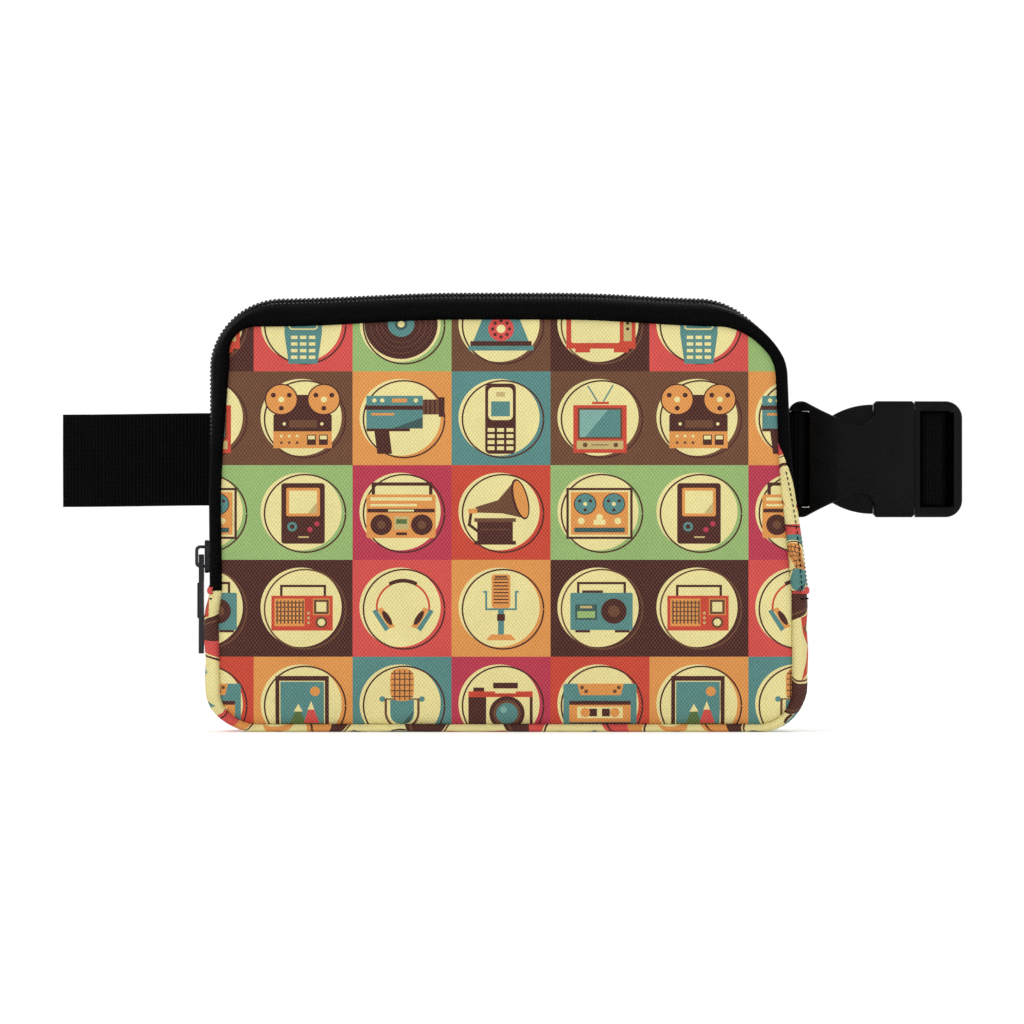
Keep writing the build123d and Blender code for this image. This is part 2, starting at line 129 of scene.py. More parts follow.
def at_length(distance, along, rows):
    """Points or directions at any distance along a line."""
    return np.stack([np.interp(distance, along, rows[:, k]) for k in range(3)], axis=-1)


def even_places(places, points, step):
    """Places about step apart along a line, and how far along it each one is."""
    along = lengths(points)
    count = max(2, int(round(along[-1] / step)) + 1)
    at = np.linspace(0, along[-1], count)
    return np.interp(at, along, places), at


def grid(*axes):
    """The coordinates of a grid, with the first axis running slowest."""
    return np.meshgrid(*axes, indexing="ij")


def grid_faces(rows, columns):
    """Quads of a grid whose points run along the columns first, facing outwards on the skin."""
    i, j = grid(np.arange(rows - 1), np.arange(columns - 1))
    a = (i * columns + j).ravel()
    return np.stack([a, a + 1, a + columns + 1, a + columns], axis=1)


def ring_faces(rings, sides, capped=True):
    """Quads between the rings of a tube, whose points run round each ring first, and its two ends."""
    faces = []
    for a in range(0, (rings - 1) * sides, sides):
        for k in range(sides):
            j = (k + 1) % sides
            faces.append([a + k, a + j, a + sides + j, a + sides + k])
    if capped:
        last = (rings - 1) * sides
        faces += [list(range(sides))[::-1], list(range(last, last + sides))]
    return faces


def smooth_step(x, low, high):
    """0 below low, 1 above high and a smooth rise between them."""
    t = np.clip((np.asarray(x, float) - low) / (high - low), 0, 1)
    return t * t * (3 - 2 * t)


def curve_through(rows, at):
    """Values between the rows of a table, on a smooth curve through them."""
    at = np.clip(np.asarray(at, float), 0, len(rows) - 1)
    start = np.minimum(np.floor(at).astype(int), len(rows) - 2)
    t = (at - start)[..., None]
    before, after = np.maximum(start - 1, 0), np.minimum(start + 2, len(rows) - 1)
    a, b, c, d = rows[before], rows[start], rows[start + 1], rows[after]
    slope_b, slope_c = (c - a) / 2, (d - b) / 2
    return (
        b * (1 + 2 * t) * (1 - t) ** 2
        + slope_b * t * (1 - t) ** 2
        + c * t**2 * (3 - 2 * t)
        + slope_c * t**2 * (t - 1)
    )


def settle(points):
    """The bag as it stands: its right side leans in, its left bulges low down and its top droops."""
    x, y, z = points[..., 0], points[..., 1], points[..., 2]
    share = np.interp(y, LEAN_Y, LEAN_SHARE)
    right = np.interp(z, LEAN_Z, LEAN_X) * share * smooth_step(x, 20, 86)
    left = LEFT_BULGE * smooth_step(-x, 60, 92) * smooth_step(-z, -46, -36) * smooth_step(z, 0, 8) * share
    edge = np.interp(z, EDGE_Z, EDGE_X) * smooth_step(-y, 20, 25) * smooth_step(-x, 40, 88)
    frontness = np.interp(y, [FRONT_Y, BACK_Y], [1, 0])
    droop = TOP_DROOP * smooth_step(np.abs(x), 15, 75) * smooth_step(z, 105, 130) * frontness
    return np.stack([x + right + left + edge, y, z + droop], axis=-1)


def skin(u, v, inset=0.0):
    """Points on the bag's skin and the outward direction there, seen along the depth.

    A whole number of u is one part of the outline: half the bottom, a corner, the side below and above
    its seam, a corner, the top, and back down the left."""
    u, v, inset = np.broadcast_arrays(*[np.asarray(value, float) for value in (u, v, inset)])
    y, w, top, bottom, right_r, bottom_r, left_r = np.moveaxis(curve_through(PROFILE, v), -1, 0)
    part = np.minimum(np.floor(u), U_END - 1)
    t = u - part
    quarter = math.pi / 2
    flat_x, flat_z = w - bottom_r, bottom + bottom_r
    top_r = np.where(part >= 6, left_r, right_r)
    round_x, round_z = w - top_r, top - top_r
    parts = [part == 0, part == 1, part <= 3, part == 4, part == 5, part == 6, part <= 8, part == 9]
    angle = np.select(
        parts,
        [
            -quarter + 0 * t,
            -quarter * (1 - t),
            0 * t,
            quarter * t,
            quarter + 0 * t,
            quarter * (1 + t),
            2 * quarter + 0 * t,
            quarter * (2 + t),
        ],
        3 * quarter,
    )
    nx, nz = np.cos(angle), np.sin(angle)
    radius = np.where((part >= 3) & (part <= 7), top_r, bottom_r)
    radius = np.where((part == 2) | (part == 3) | (part == 7) | (part == 8), 0, radius)
    x = np.select(
        parts,
        [flat_x * t, flat_x, w, round_x, round_x + (left_r - w - round_x) * t, -round_x, -w, -flat_x],
        -flat_x * (1 - t),
    )
    z = np.select(
        [part <= 1, part == 2, part == 3, part <= 6, part == 7, part == 8],
        [
            flat_z,
            flat_z + t * (SEAM_Z - flat_z),
            SEAM_Z + t * (round_z - SEAM_Z),
            round_z,
            round_z + t * (SEAM_Z - round_z),
            SEAM_Z + t * (flat_z - SEAM_Z),
        ],
        flat_z,
    )
    points = np.stack([x + radius * nx, y, z + radius * nz], axis=-1)
    outward = np.stack([nx, 0 * nx, nz], axis=-1)
    return settle(points) - outward * inset[..., None], outward


def round_steps(u0, u1, step):
    """Places along the outline about step apart, from u0 to u1."""
    fine = np.linspace(u0, u1, 2000)
    return even_places(fine, skin(fine, V_GUSSET)[0], step)


def depth_steps(v0, v1, step):
    """Places along the depth about step apart, from v0 to v1, and how far along the cloth each one is."""
    fine = np.linspace(v0, v1, 600)
    return even_places(fine, curve_through(PROFILE, fine)[:, :2], step)


def bag_outline(v):
    """The closed line round the bag at a place along its depth, seen from the front."""
    us, _ = round_steps(0, U_END, OUTLINE_STEP)
    return skin(us[:-1], v)[0][:, [0, 2]]


# ---------------------------------------------------------------- materials
def linear(colour):
    """An 8 bit screen colour as the linear values that the shader takes."""
    values = [c / 255 for c in colour]
    return [c / 12.92 if c <= 0.04045 else ((c + 0.055) / 1.055) ** 2.4 for c in values]


class Look:
    """A material under construction: a Principled shader and short calls for the nodes that feed it."""

    def __init__(self, name, **settings):
        self.material = bpy.data.materials.new(name)
        self.material.use_nodes = True
        self.tree = self.material.node_tree
        self.shader = self.tree.nodes["Principled BSDF"]
        for socket, value in settings.items():
            self.shader.inputs[socket.replace("_", " ")].default_value = value

    def add(self, kind, inputs=None, **settings):
        """A node with its settings, and its inputs linked or set."""
        node = self.tree.nodes.new(kind)
        for name, value in settings.items():
            setattr(node, name, value)
        for name, value in (inputs or {}).items():
            if isinstance(value, bpy.types.NodeSocket):
                self.tree.links.new(value, node.inputs[name])
            else:
                node.inputs[name].default_value = value
        return node

    def colour(self, values):
        """A fixed colour as a socket."""
        node = self.add("ShaderNodeRGB")
        node.outputs[0].default_value = (*values, 1)
        return node.outputs[0]

    def math(self, operation, a, b=0.0, c=0.0):
        return self.add("ShaderNodeMath", {0: a, 1: b, 2: c}, operation=operation).outputs[0]

    def flat(self):
        """The cloth's own flat coordinates in millimetres."""
        uv = self.add("ShaderNodeUVMap", uv_map="flat").outputs[0]
        parts = self.add("ShaderNodeSeparateXYZ", {0: uv})
        return uv, parts.outputs[0], parts.outputs[1]

    def wave(self, coordinate, pitch, shift=0.0):
        """A cosine along a coordinate, from -1 to 1."""
        return self.math("COSINE", self.math("MULTIPLY_ADD", coordinate, 2 * math.pi / pitch, shift))

    def noise(self, vector, scale, detail=2.0, roughness=0.5):
        node = self.add(
            "ShaderNodeTexNoise", {"Vector": vector, "Scale": scale, "Detail": detail, "Roughness": roughness}
        )
        return node.outputs["Fac"]

    def spread(self, value, low, high, out_low, out_high):
        node = self.add(
            "ShaderNodeMapRange", {0: value, 1: low, 2: high, 3: out_low, 4: out_high}, clamp=True
        )
        return node.outputs[0]

    def tint(self, colour, factor):
        """A colour multiplied by a changing grey value."""
        node = self.add("ShaderNodeVectorMath", {0: colour}, operation="SCALE")
        self.tree.links.new(factor, node.inputs["Scale"])
        return node.outputs[0]

    def mixed(self, colour, other, factor):
        """A colour that turns into a second, fixed one by a changing factor."""
        node = self.add("ShaderNodeMix", data_type="RGBA")
        node.inputs[7].default_value = (*other, 1)
        self.tree.links.new(colour, node.inputs[6])
        self.tree.links.new(factor, node.inputs[0])
        return node.outputs[2]

    def bump(self, height, distance, strength=1.0, normal=None):
        inputs = {"Height": height, "Distance": distance * MM, "Strength": strength}
        if normal is not None:
            inputs["Normal"] = normal
        return self.add("ShaderNodeBump", inputs).outputs[0]

    def finish(self, **sockets):
        for name, value in sockets.items():
            self.tree.links.new(value, self.shader.inputs[name.replace("_", " ")])
        return self.material


def printed_fabric():
    """Coarse polyester canvas, printed: the colours come from the print, the weave from the flat cloth."""
    look = Look("printed_fabric", Specular_IOR_Level=0.15)
    uv, across, along = look.flat()
    wander = look.noise(uv, 0.35, 2.0)
    across = look.math("MULTIPLY_ADD", wander, 0.22, across)
    crossing = look.math("MULTIPLY", look.wave(across, 1.12), look.wave(along, 1.42))
    yarn = look.noise(uv, 2.2, 3.0, 0.6)
    height = look.math("MULTIPLY_ADD", yarn, 0.35, crossing)
    shade = look.spread(height, -0.7, 0.8, 0.7, 0.93)
    # Where the yarn rises the ink is mixed towards a pale tan: partly the pale yarn that the print missed,
    # partly a painted highlight on the yarn tops
    pale_yarn_and_highlight = look.spread(height, 0.1, 1.1, 0.0, 0.085)
    cloth = look.spread(look.noise(uv, 0.06, 3.0), 0.3, 0.7, 0.95, 1.04)
    shade = look.math("MULTIPLY", shade, cloth)
    ink = look.add("ShaderNodeAttribute", attribute_name="ink", attribute_type="GEOMETRY").outputs[0]
    ink = look.mixed(ink, (0.7, 0.52, 0.38), pale_yarn_and_highlight)
    rough = look.spread(height, -1, 1, 0.86, 0.68)
    return look.finish(
        Base_Color=look.tint(ink, shade), Roughness=rough, Normal=look.bump(height, 0.12, 0.8)
    )


def woven(
    name, colour, pitch_across, pitch_along, depth, rough, slant=0.0, low=0.55, high=1.5, gloss=0.1, rib=0.0
):
    """A plain woven tape or cloth. slant leans its ribs to a herringbone, and rib makes them continuous."""
    look = Look(name, Specular_IOR_Level=gloss)
    uv, across, along = look.flat()
    leaning = look.math("MULTIPLY_ADD", look.math("ABSOLUTE", across), slant, along)
    ribs = look.wave(leaning, pitch_along)
    crossing = look.math("MULTIPLY", look.wave(across, pitch_across), ribs)
    crossing = look.math("MULTIPLY_ADD", ribs, rib, look.math("MULTIPLY", crossing, 1 - rib))
    yarn = look.noise(uv, 2.5, 3.0, 0.6)
    height = look.math("MULTIPLY_ADD", yarn, 0.5, crossing)
    wear_and_edge_highlight = look.spread(look.noise(uv, 0.09, 3.0), 0.3, 0.7, 0.85, 1.2)
    shade = look.math("MULTIPLY", look.spread(height, -0.8, 1.0, low, high), wear_and_edge_highlight)
    base = look.colour(linear(colour))
    return look.finish(
        Base_Color=look.tint(base, shade),
        Roughness=look.spread(height, -1, 1, rough + 0.1, rough - 0.08),
        Normal=look.bump(height, depth, 0.9),
    )


def solid(name, colour, rough, grain, grain_depth, metallic=0.0, specular=0.5):
    """Moulded plastic, coil or metal: a grain in the gloss, a faint mottle in the colour and a painted
    highlight along sharp edges.
    """
    look = Look(name, Metallic=metallic, Coat_Roughness=0.25, Specular_IOR_Level=specular)
    place = look.add("ShaderNodeTexCoord").outputs["Object"]
    fine = look.noise(place, grain, 3.0, 0.6)
    broad = look.noise(place, grain / 14, 3.0)
    edge = look.add("ShaderNodeNewGeometry").outputs["Pointiness"]
    # Painted highlight: where Pointiness is high, on sharp edges, the colour is lightened up to 3.5 times,
    # standing in for light caught on the bevels
    wear_and_edge_highlight = look.spread(edge, 0.51, 0.6, 1.0, 3.5)
    shade = look.math("MULTIPLY", look.spread(broad, 0.3, 0.7, 0.8, 1.25), wear_and_edge_highlight)
    base = look.colour(linear(colour))
    mix = look.math("MULTIPLY_ADD", broad, 0.6, look.math("MULTIPLY", fine, 0.4))
    return look.finish(
        Base_Color=look.tint(base, shade),
        Roughness=look.spread(mix, 0.3, 0.7, rough - 0.07, rough + 0.09),
        Normal=look.bump(fine, grain_depth, 0.5),
    )


MATERIALS = {
    "printed_fabric": printed_fabric(),
    "lining_fabric": woven("lining_fabric", (34, 33, 34), 0.7, 0.7, 0.05, 0.62, low=0.7, high=1.3),
    "binding_tape": woven("binding_tape", (14, 14, 15), 1.0, 0.9, 0.1, 0.7, gloss=0.05),
    "zip_tape": woven("zip_tape", (4, 4, 5), 1.1, 1.3, 0.09, 0.55, slant=1.0, gloss=0.03),
    "webbing": woven("webbing", (3, 3, 4), 1.5, 1.1, 0.16, 0.5, low=0.4, high=3.0, gloss=0.03, rib=0.6),
    "thread": woven("thread", (8, 8, 8), 0.3, 0.3, 0.03, 0.6, gloss=0.04),
    "zip_coil": solid("zip_coil", (9, 9, 10), 0.3, 900, 0.01, specular=0.22),
    "zip_metal": solid("zip_metal", (25, 25, 27), 0.25, 700, 0.012, metallic=1.0),
    "buckle_plastic": solid("buckle_plastic", (4, 4, 5), 0.3, 1400, 0.008, specular=0.09),
}


# ---------------------------------------------------------------- meshes
def build(name, points, faces, material, flat=None, ink=None, weld=0.0):
    """A mesh object from points in millimetres, with its flat coordinates and print colours."""
    name += "_look"
    points = np.array(points, float)
    points[:, 2] = np.maximum(points[:, 2], FLOOR_GAP)
    mesh = bpy.data.meshes.new(name)
    mesh.from_pydata((points * MM).tolist(), [], [list(map(int, f)) for f in faces])
    mesh.materials.append(MATERIALS[material])
    corners = np.zeros(len(mesh.loops), np.int32)
    mesh.loops.foreach_get("vertex_index", corners)
    if flat is not None:
        layer = mesh.uv_layers.new(name="flat")
        layer.data.foreach_set("uv", np.asarray(flat, np.float32)[corners].ravel())
    if ink is not None:
        sizes = [len(f) for f in faces]
        colours = np.repeat(np.asarray(ink, np.float32), sizes, axis=0)
        colours = np.concatenate([colours, np.ones((len(colours), 1), np.float32)], axis=1)
        mesh.color_attributes.new("ink", "FLOAT_COLOR", "CORNER").data.foreach_set("color", colours.ravel())
    if weld:
        bm = bmesh.new()
        bm.from_mesh(mesh)
        bmesh.ops.remove_doubles(bm, verts=bm.verts, dist=weld * MM)
        bmesh.ops.dissolve_degenerate(bm, edges=bm.edges, dist=weld * MM)
        bm.to_mesh(mesh)
        bm.free()
    mesh.shade_smooth()
    obj = bpy.data.objects.new(name, mesh)
    bpy.context.scene.collection.objects.link(obj)
    return obj


def thicken(obj, thickness, offset=-1.0):
    """Give a sheet its real thickness: inwards from its face, or half each way with an offset of 0."""
    modifier = obj.modifiers.new("thickness", "SOLIDIFY")
    modifier.thickness = thickness * MM
    modifier.offset = offset
    return obj


def skin_sheet(name, material, u_range, v_range, inset=0.0, step=2.5, depth_step=1.5, ripple=0.0):
    """A sheet that follows the skin. inset is a number or a function of the depth place."""
    us, along = round_steps(*u_range, step)
    vs, depth = depth_steps(*v_range, depth_step)
    u, v = grid(us, vs)
    inward = inset(v) if callable(inset) else inset
    points, outward = skin(u, v, inward)
    s, q = grid(along, depth)
    if ripple:
        wave = np.sin(s * 0.21 + 1.3 * np.sin(q * 0.13)) * np.sin(q * 0.17 + 0.6)
        points = points - outward * (ripple * wave)[..., None]
    flat = np.stack([q, s], axis=-1).reshape(-1, 2)
    return build(name, points.reshape(-1, 3), grid_faces(len(us), len(vs)), material, flat=flat)


# ---------------------------------------------------------------- print: colours and shapes
INKS = {
    "cream": (234, 222, 155),
    "maroon": (73, 35, 30),
    "brown": (106, 69, 48),
    "orange": (223, 150, 78),
    "teal": (84, 136, 132),
    "sky": (128, 174, 164),
    "green": (149, 182, 112),
    "coral": (211, 78, 74),
    "magenta": (184, 54, 78),
    "red": (201, 70, 52),
    "tan": (196, 176, 116),
    "slate": (58, 88, 86),
    "moss": (86, 112, 62),
}


def poly(ink, *points):
    return ink, [tuple(p) for p in points]


def bar(ink, x0, y0, x1, y1, corner=0.0):
    """A box, with its corners rounded if asked."""
    if not corner:
        return poly(ink, (x0, y0), (x1, y0), (x1, y1), (x0, y1))
    points = []
    for cx, cy, start in (
        (x1 - corner, y0 + corner, -90),
        (x1 - corner, y1 - corner, 0),
        (x0 + corner, y1 - corner, 90),
        (x0 + corner, y0 + corner, 180),
    ):
        for k in range(5):
            a = math.radians(start + 22.5 * k)
            points.append((cx + corner * math.cos(a), cy + corner * math.sin(a)))
    return ink, points


def bars(ink, *boxes):
    return [bar(ink, *box) for box in boxes]


def oval(ink, cx, cy, rx, ry=None, tilt=0.0, sides=28):
    """A disc or an ellipse."""
    ry = rx if ry is None else ry
    turn = math.radians(tilt)
    points = []
    for k in range(sides):
        a = 2 * math.pi * k / sides
        x, y = rx * math.cos(a), ry * math.sin(a)
        turned_x = cx + x * math.cos(turn) - y * math.sin(turn)
        turned_y = cy + x * math.sin(turn) + y * math.cos(turn)
        points.append((turned_x, turned_y))
    return ink, points


def arc(ink, cx, cy, radius, width, start=0.5, end=359.5, sides=40):
    """A curved band; the default is a ring with a hairline gap."""
    angles = [math.radians(start + (end - start) * k / sides) for k in range(sides + 1)]
    edges = []
    for r in (radius + width / 2, radius - width / 2):
        edges.append([(cx + r * math.cos(a), cy + r * math.sin(a)) for a in angles])
    return ink, edges[0] + edges[1][::-1]


def stroke(ink, width, *points):
    """Straight bands from point to point."""
    shapes = []
    for (x0, y0), (x1, y1) in zip(points, points[1:]):
        length = math.hypot(x1 - x0, y1 - y0)
        dx, dy = (x1 - x0) / length * width / 2, (y1 - y0) / length * width / 2
        shapes.append(
            poly(
                ink,
                (x0 - dx - dy, y0 - dy + dx),
                (x0 - dx + dy, y0 - dy - dx),
                (x1 + dx + dy, y1 + dy - dx),
                (x1 + dx - dy, y1 + dy + dx),
            )
        )
    return shapes


def keys(ink, x0, y0, step_x, step_y, columns, rows, half_x, half_y):
    """A block of small keys."""
    return [
        bar(ink, x - half_x, y - half_y, x + half_x, y + half_y)
        for x in [x0 + step_x * i for i in range(columns)]
        for y in [y0 + step_y * j for j in range(rows)]
    ]


def dots(ink, radius, *centres):
    return [oval(ink, x, y, radius, sides=12) for x, y in centres]


def on_circle(cx, cy, radius, *angles):
    """Places on a circle, at angles in degrees."""
    turns = [math.radians(angle) for angle in angles]
    return [(cx + radius * math.cos(a), cy + radius * math.sin(a)) for a in turns]


def reel(ink, cx, cy, radius):
    """A tape reel with three openings and a hub."""
    openings = on_circle(cx, cy, radius * 0.6, 30, 150, 270)
    return [
        oval("maroon", cx, cy, radius * 1.09),
        oval(ink, cx, cy, radius),
        *[oval("maroon", x, y, radius * 0.17, sides=8) for x, y in openings],
        oval("cream", cx, cy, radius * 0.2, sides=14),
    ]


def posts(ink, y0, y1, width, *xs):
    """Thin upright bars."""
    return [bar(ink, x, y0, x + width, y1) for x in xs]


def slats(ink, x0, x1, width, *ys):
    """Thin level bars."""
    return [bar(ink, x0, y, x1, y + width) for y in ys]


def earpiece(side):
    """One side of the headphones."""

    def facing(*points):
        return [(0.02 + side * x, y) for x, y in points]

    return [
        poly("teal", *facing((0.62, -0.06), (0.54, -0.02), (0.28, -0.42), (0.36, -0.48))),
        poly("orange", *facing((0.52, -0.02), (0.42, 0.02), (0.16, -0.38), (0.28, -0.42))),
        oval("maroon", 0.02 + side * 0.32, -0.2, 0.06, 0.17, -side * 32, 16),
    ]


DESK_PHONE = [
    poly("teal", (-0.3, 0.32), (0.3, 0.32), (0.56, -0.36), (-0.56, -0.36)),
    bar("maroon", -0.62, -0.46, 0.62, -0.36),
    bar("teal", -0.66, -0.56, 0.66, -0.46),
    poly(
        "teal",
        *((-0.72, 0.28), (-0.72, 0.56), (0.72, 0.56), (0.72, 0.28)),
        *((0.46, 0.28), (0.4, 0.4), (-0.4, 0.4), (-0.46, 0.28)),
    ),
    oval("coral", 0, -0.1, 0.26),
    *dots("maroon", 0.035, *on_circle(0, -0.1, 0.17, *range(0, 360, 45))),
    oval("cream", 0, -0.1, 0.09, sides=14),
]
HANDSET = [
    poly("teal", (-0.36, 0.86), (0.36, 0.86), (0.38, -0.2), (0.29, -0.84), (-0.29, -0.84), (-0.38, -0.2)),
    bar("cream", -0.3, -0.12, 0.3, 0.62, 0.08),
    bar("teal", -0.27, -0.09, 0.27, 0.59, 0.06),
    bar("sky", -0.21, -0.02, 0.21, 0.52),
    *keys("cream", -0.18, -0.7, 0.18, 0.14, 3, 4, 0.065, 0.035),
]
BAR_PHONE = [
    bar("maroon", -0.32, -0.76, 0.3, 0.74, 0.1),
    bar("cream", -0.26, -0.04, 0.24, 0.66, 0.1),
    bar("teal", -0.2, 0.04, 0.18, 0.36),
    bar("tan", -0.1, 0.46, 0.08, 0.56),
    *keys("cream", -0.2, -0.64, 0.19, 0.13, 3, 4, 0.07, 0.04),
]
TELEVISION = [
    bar("red", -0.68, -0.52, 0.72, 0.62),
    bar("cream", -0.58, -0.4, 0.4, 0.52, 0.05),
    bar("tan", 0.48, -0.36, 0.64, 0.52),
    *dots("maroon", 0.035, (0.56, -0.1), (0.56, 0.02), (0.56, 0.14)),
    *bars("red", (-0.5, -0.6, -0.2, -0.52), (0.28, -0.6, 0.58, -0.52)),
]
PORTABLE_SET = [
    *stroke("teal", 0.03, (-0.04, 0.34), (-0.24, 0.68)),
    *stroke("teal", 0.03, (0.06, 0.34), (0.26, 0.7)),
    *bars("red", (-0.16, 0.3, 0.18, 0.35), (-0.54, -0.74, 0.54, 0.28)),
    bar("brown", -0.45, -0.44, 0.45, 0.22),
    bar("teal", -0.41, -0.4, 0.41, 0.18),
    poly("sky", (-0.41, -0.02), (-0.41, 0.18), (0.16, 0.18), (-0.3, -0.4), (-0.41, -0.4)),
    bar("tan", -0.47, -0.66, 0.47, -0.48),
    *dots("brown", 0.05, (-0.3, -0.57), (0.32, -0.57)),
    *stroke("brown", 0.02, (-0.16, -0.57), (0.16, -0.57)),
]
REEL_RECORDER = [
    poly("maroon", (-0.6, -0.28), (0.58, -0.28), (0.58, 0.06), (0.12, 0.5), (-0.14, 0.5), (-0.6, 0.06)),
    bar("brown", -0.28, -0.2, 0.28, -0.04),
    *dots("cream", 0.035, (-0.38, -0.12), (0.38, -0.12)),
    *reel("orange", -0.44, 0.4, 0.31),
    *reel("orange", 0.42, 0.4, 0.31),
    bar("orange", -0.6, -0.64, 0.58, -0.28),
    *dots("cream", 0.03, (-0.44, -0.38), (-0.28, -0.38), (-0.12, -0.38)),
    *dots("brown", 0.03, (-0.44, -0.52), (-0.28, -0.52), (-0.12, -0.52)),
    *bars("maroon", (0.08, -0.57, 0.26, -0.35), (0.32, -0.57, 0.5, -0.35)),
    *bars("cream", (0.1, -0.45, 0.24, -0.37), (0.34, -0.45, 0.48, -0.37)),
]
CINE_CAMERA = [
    bar("teal", -0.72, -0.22, 0.42, 0.48),
    bar("maroon", -0.74, 0.18, 0.42, 0.27),
    bar("orange", -0.2, 0.34, 0.1, 0.42),
    *dots("cream", 0.045, (-0.56, 0.38), (-0.4, 0.38), (0.28, 0.38)),
    bar("orange", -0.62, 0.06, -0.16, 0.11),
    poly("slate", (-0.2, -0.22), (0.42, -0.22), (0.42, 0.02)),
    bar("brown", 0.42, 0.08, 0.74, 0.4),
    *posts("maroon", 0.08, 0.4, 0.04, 0.46, 0.55, 0.64),
    *bars("maroon", (0.74, 0.03, 0.86, 0.45), (-0.72, -0.28, 0.16, -0.22)),
    poly("maroon", (-0.56, -0.28), (-0.26, -0.28), (-0.2, -0.76), (-0.5, -0.76)),
]
HANDHELD = [
    bar("maroon", -0.44, -0.66, 0.44, 0.62, 0.06),
    bar("orange", -0.34, -0.08, 0.34, 0.52, 0.04),
    bar("cream", -0.28, -0.02, 0.28, 0.46),
    poly("tan", (0.28, -0.02), (0.28, 0.22), (0.1, -0.02)),
    oval("teal", -0.22, -0.3, 0.1, sides=18),
    oval("maroon", -0.22, -0.3, 0.05, sides=12),
    *dots("magenta", 0.055, (0.14, -0.36), (0.28, -0.24)),
    *stroke("tan", 0.035, (-0.08, -0.52), (0.1, -0.52)),
]
STEREO = [
    *stroke("maroon", 0.07, (-0.58, 0.34), (-0.58, 0.6), (0.58, 0.6), (0.58, 0.34)),
    bar("orange", -0.72, -0.54, 0.68, 0.38, 0.05),
    *bars("cream", (-0.64, 0.25, 0.6, 0.32), (-0.64, 0.13, 0.3, 0.18)),
    bar("maroon", -0.7, 0.0, 0.66, 0.08),
    bar("cream", -0.28, 0.02, 0.24, 0.06),
    oval("maroon", -0.42, -0.26, 0.22),
    oval("maroon", 0.4, -0.26, 0.22),
    oval("brown", -0.42, -0.26, 0.09, sides=14),
    oval("brown", 0.4, -0.26, 0.09, sides=14),
    bar("tan", -0.16, -0.36, 0.14, -0.08),
    bar("moss", -0.12, -0.24, 0.1, -0.14),
    bar("maroon", -0.12, -0.48, 0.1, -0.42),
]
GRAMOPHONE = [
    *stroke("maroon", 0.06, (-0.6, 0.04), (-0.64, -0.26), (-0.44, -0.42)),
    poly("brown", (-0.58, 0.0), (-0.5, 0.12), (-0.06, 0.26), (0.26, 0.66), (0.46, -0.12), (0.04, -0.02)),
    oval("maroon", 0.39, 0.28, 0.16, 0.44, 14),
    oval("orange", 0.4, 0.28, 0.12, 0.4, 14),
    bar("orange", -0.66, -0.02, -0.48, 0.08),
    bar("brown", -0.54, -0.2, 0.3, -0.12),
    *bars("maroon", (-0.48, -0.62, 0.24, -0.2), (-0.54, -0.68, 0.3, -0.6)),
    *stroke("brown", 0.02, (-0.4, -0.36), (0.16, -0.36)),
]
TAPE_DECK = [
    bar("maroon", -0.68, -0.56, 0.66, 0.52),
    bar("cream", -0.63, -0.51, 0.61, 0.47),
    bar("orange", -0.59, -0.47, 0.57, 0.43),
    *reel("teal", -0.3, 0.18, 0.21),
    *reel("teal", 0.28, 0.18, 0.21),
    *dots("cream", 0.07, (-0.38, -0.18), (0.36, -0.18), (-0.01, -0.1)),
    bar("cream", -0.13, -0.26, 0.11, -0.15),
    bar("slate", -0.52, -0.42, 0.5, -0.32),
]
RED_RADIO = [
    *stroke("maroon", 0.05, (-0.44, 0.24), (-0.44, 0.46), (0.44, 0.46), (0.44, 0.24)),
    bar("red", -0.64, -0.46, 0.6, 0.26),
    bar("orange", -0.58, -0.37, 0.03, 0.2),
    *posts("brown", -0.32, 0.16, 0.03, *np.arange(-0.54, 0.0, 0.075)),
    *slats("brown", -0.55, 0.0, 0.025, *np.arange(-0.26, 0.14, 0.09)),
    bar("orange", 0.2, -0.14, 0.54, 0.2),
    bar("brown", 0.22, -0.12, 0.52, 0.18),
    bar("cream", 0.27, -0.07, 0.47, 0.13),
    oval("brown", 0.37, -0.29, 0.12, sides=18),
    oval("cream", 0.37, -0.29, 0.075, sides=14),
    *dots("tan", 0.03, (0.11, -0.1), (0.11, -0.2), (0.11, -0.3)),
]
TEAL_RADIO = [
    *stroke("maroon", 0.05, (-0.44, 0.32), (-0.44, 0.52), (0.5, 0.52), (0.5, 0.32)),
    *bars("maroon", (-0.36, 0.32, 0.06, 0.37), (-0.5, -0.5, -0.2, -0.45), (0.3, -0.5, 0.6, -0.45)),
    bar("teal", -0.6, -0.45, 0.66, 0.32, 0.03),
    oval("maroon", 0.28, -0.06, 0.26),
    oval("brown", 0.28, -0.06, 0.12, sides=16),
    bar("slate", -0.5, -0.24, -0.06, 0.08),
    bar("green", -0.46, -0.2, -0.1, -0.06),
    bar("tan", -0.4, 0.0, -0.16, 0.05),
]
HEADPHONES = [
    arc("red", 0.02, 0.02, 0.53, 0.04, -12, 192),
    arc("maroon", 0.02, 0.02, 0.55, 0.08, 60, 120, 12),
    *earpiece(-1),
    *earpiece(1),
]
STAND_MICROPHONE = [
    *stroke("teal", 0.04, (-0.34, 0.34), (-0.3, 0.34), (-0.3, -0.02), (0.3, -0.02)),
    *stroke("teal", 0.04, (0.3, -0.02), (0.3, 0.34), (0.34, 0.34)),
    bar("teal", -0.06, -0.54, 0.06, 0.0),
    bar("orange", -0.19, 0.0, 0.19, 0.7, 0.06),
    *slats("maroon", -0.15, 0.15, 0.025, *np.arange(0.1, 0.6, 0.07)),
    bar("brown", -0.12, 0.63, 0.12, 0.67),
    bar("maroon", -0.08, -0.26, 0.08, -0.12),
    poly("orange", (-0.3, -0.66), (0.3, -0.66), (0.2, -0.54), (-0.2, -0.54)),
]
